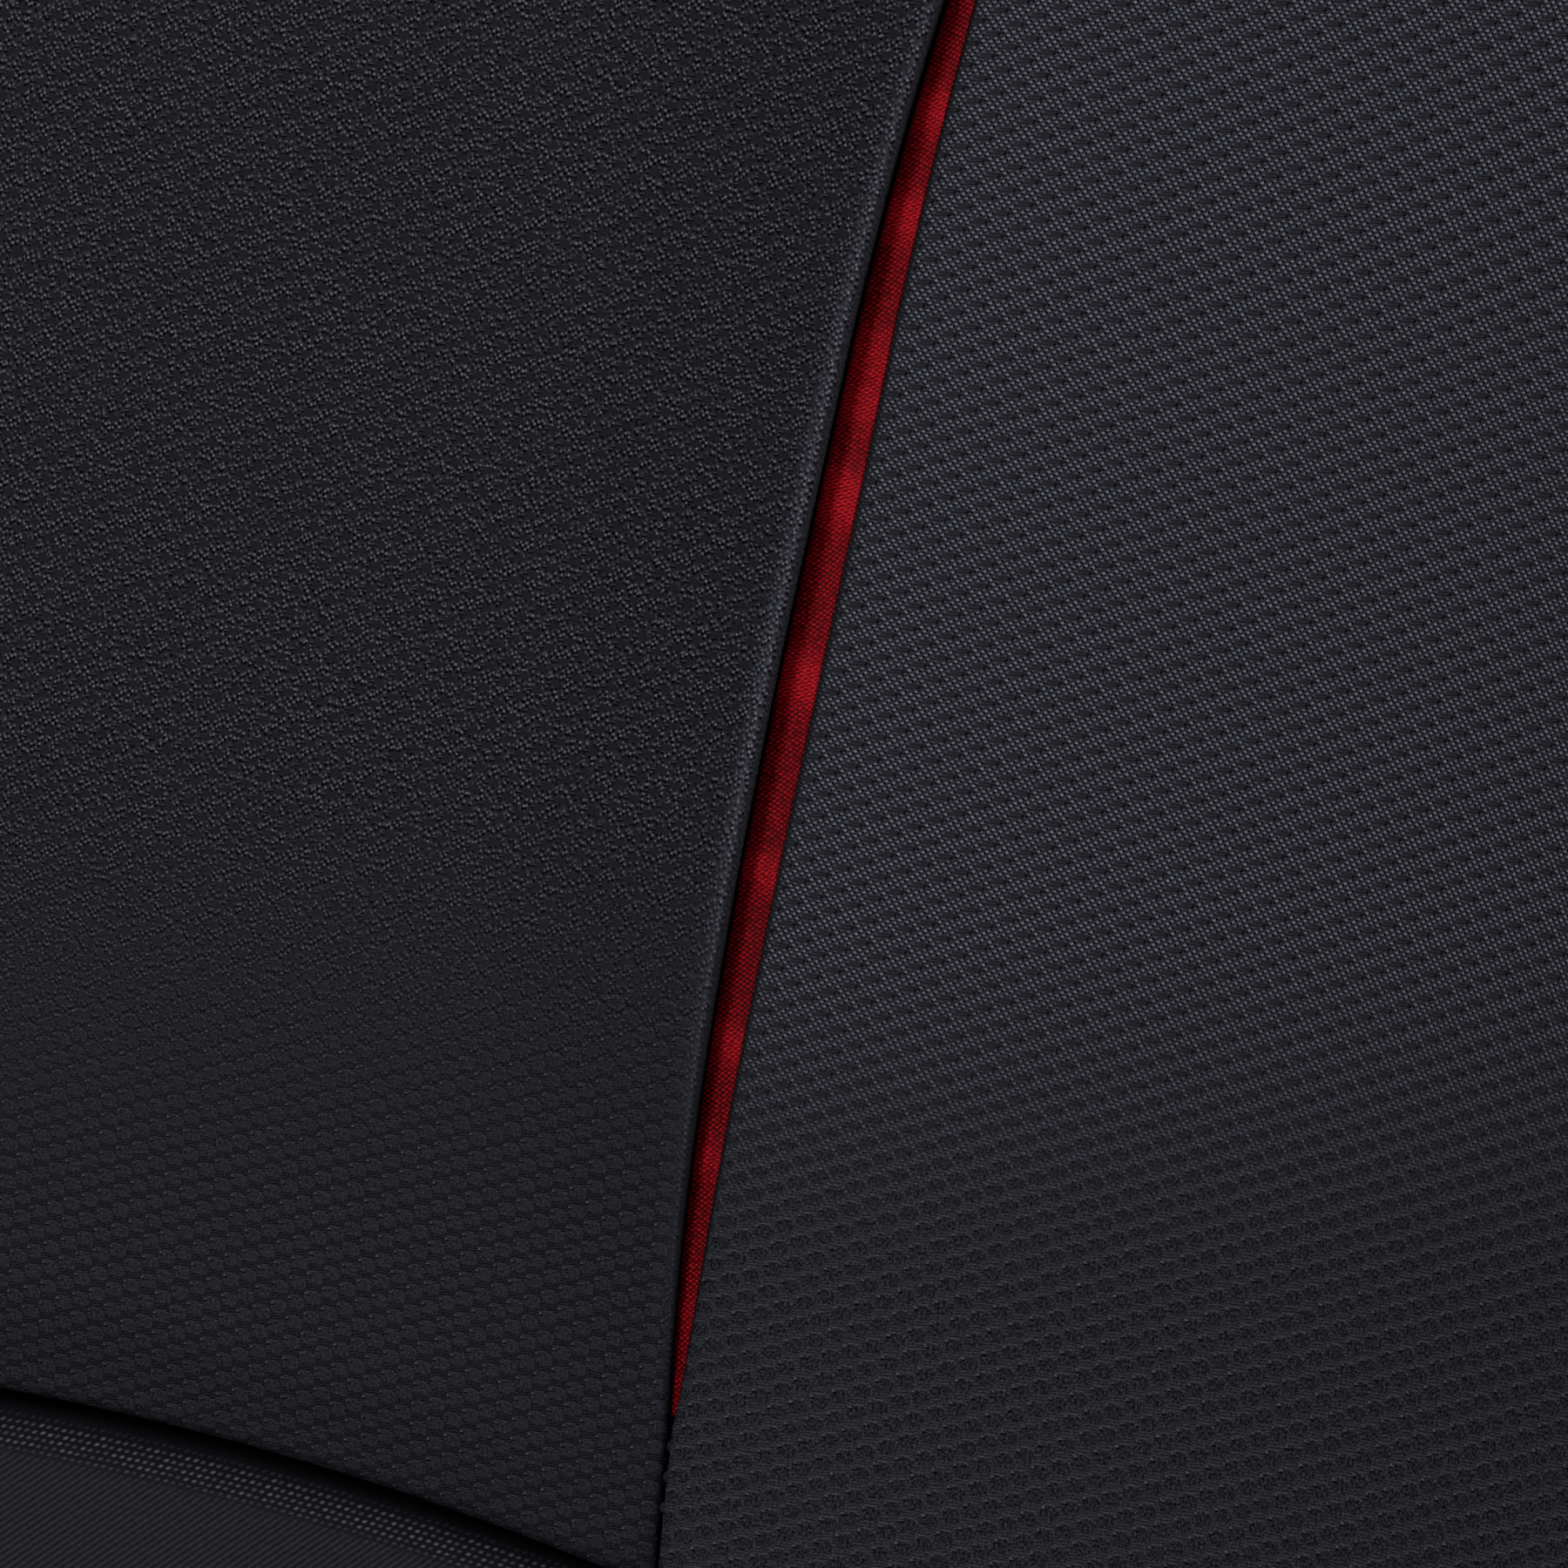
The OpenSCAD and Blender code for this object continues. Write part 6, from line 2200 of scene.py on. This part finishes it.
@dataclass
class Studio:
    """Camera, floor, world and lamps."""

    lens: float = 100.0
    frame_width: float = 150.0
    target_u: float = 763.6
    target_x: float = 122.7
    target_h: float = 25.0
    film: float = 36.0
    turn: float = 7.0
    roll: float = 0.8
    aim: Triple = (0.0, 0.1, 0.5)
    seen_by: tuple[str, ...] = ("Is Camera Ray", "Is Glossy Ray", "Is Transmission Ray")
    strength: Pair = (0.5, 0.95)
    fade: Pair = (1600.0, 5200.0)
    floor_half: float = 3e4
    floor_z: float = -0.5
    lamps: tuple[tuple[str, Triple, float, float], ...] = (
        ("Key", (-1.5, -1.9, 2.1), 1.0, 62.0),
        ("Fill", (2.0, -1.4, 1.2), 1.6, 20.0),
        ("Rear", (0.6, 2.2, 1.6), 1.6, 36.0),
    )

    def _camera(self) -> None:
        """Sets the camera square to the back, a little from the right."""
        u, w = np.array([self.target_u]), np.array([self.target_x])
        target = FORM.above(u, w, self.target_h)[0]
        heading = float(FORM.spine(u)[1][0])
        a = math.radians(self.turn)
        normal = Vector((0, -math.sin(heading), math.cos(heading)))
        back = (normal * math.cos(a) + Vector((1, 0, 0)) * math.sin(a)).normalized()
        data = bpy.data.cameras.new("Camera")
        data.lens, data.sensor_width = self.lens, self.film
        camera = add_object("Camera", data)
        distance = self.frame_width / self.film * self.lens
        camera.location = Vector(target * MM) + back * distance * MM
        up = Vector((0, math.cos(heading), math.sin(heading)))
        right = up.cross(back).normalized()
        level_up, r = back.cross(right), math.radians(self.roll)
        right, true_up = (
            right * math.cos(r) + level_up * math.sin(r),
            level_up * math.cos(r) - right * math.sin(r),
        )
        camera.rotation_mode = "QUATERNION"
        camera.rotation_quaternion = Matrix((right, true_up, back)).transposed().to_quaternion()
        data.clip_start, data.clip_end = 0.01, 50.0
        bpy.context.scene.camera = camera

    def _lamp(self, name: str, place: Sequence[float], size: float, power: float) -> None:
        """Adds a soft lamp that looks at the seat.

        Args:
            name: The lamp's name.
            place: Where it hangs, in metres.
            size: Width of its disk in metres.
            power: Its power in watts.
        """
        data = bpy.data.lights.new(name, "AREA")
        data.shape, data.size, data.energy = "DISK", size, power
        lamp = add_object(name, data)
        lamp.location = place
        aim = Vector(self.aim) - Vector(place)
        lamp.rotation_mode = "QUATERNION"
        lamp.rotation_quaternion = aim.to_track_quat("-Z", "Y")

    def _world(self) -> None:
        """Lights the scene evenly, with a brighter background where it is seen."""
        world = bpy.data.worlds.new("Studio")
        world.use_nodes = True
        nodes = NodeBuilder(world.node_tree)
        path = nodes.node("ShaderNodeLightPath").outputs
        seen = path[self.seen_by[0]]
        for kind in self.seen_by[1:]:
            either = nodes.node(
                "ShaderNodeMath", {"operation": "MAXIMUM"}, {0: seen, 1: path[kind]}
            )
            seen = either.outputs[0]
        strength = nodes.node(
            "ShaderNodeMapRange",
            inputs={"To Min": self.strength[0], "To Max": self.strength[1], "Value": seen},
        )
        background = world.node_tree.nodes["Background"].inputs
        nodes.feed(background["Color"], (0.9, 0.9, 0.9, 1.0))
        nodes.feed(background["Strength"], strength.outputs["Result"])
        bpy.context.scene.world = world

    def _floor(self) -> None:
        """Makes the pale floor, which fades into the background far away."""
        s = Shader("Studio floor")
        vector, (x, y, _) = s.place("Object")
        far = s.step(s.math("SQRT", x * x + y * y), *self.fade)
        path = s.node("ShaderNodeLightPath").outputs
        seen = sum(Signal(s, path[kind]) for kind in self.seen_by)
        s.done(
            Base_Color=s.blend(s.noise(vector, 300.0, 2.0), (0.76, 0.76, 0.76), (0.8, 0.8, 0.8)),
            Roughness=0.7,
            Specular_IOR_Level=0.1,
            Emission_Color=s.blend(far * seen, (0.0, 0.0, 0.0), (0.5, 0.5, 0.5)),
            Emission_Strength=1.0,
        )
        size, z = self.floor_half, self.floor_z
        corners = [[-size, -size, z], [size, -size, z], [size, size, z], [-size, size, z]]
        floor = make_piece("floor", np.array(corners), [[0, 1, 2, 3]], [s.material])

    def build(self) -> None:
        """Makes the studio."""
        scene = bpy.context.scene
        scene.view_settings.view_transform = "Standard"
        self._world()
        for lamp in self.lamps:
            self._lamp(*lamp)
        self._floor()
        self._camera()


def main() -> None:
    """Builds the seat and its studio."""
    logging.basicConfig(level=logging.INFO, format="%(name)s: %(message)s", stream=sys.stdout)
    Studio().build()
    finishes = Finishes()
    pads = PadSet()
    for pad in pads.all():
        pad.build(finishes)
    for side in Side:
        RedInsert(side).build(finishes)
    Stitching().build(pads, finishes)
    Shell().build(finishes)
    Hardware().build(finishes)
    Grip().build(finishes)
    wire = TubeTree()
    for side in Side:
        LatchSpring(side).build(wire, finishes)


if __name__ == "__main__":
    main()
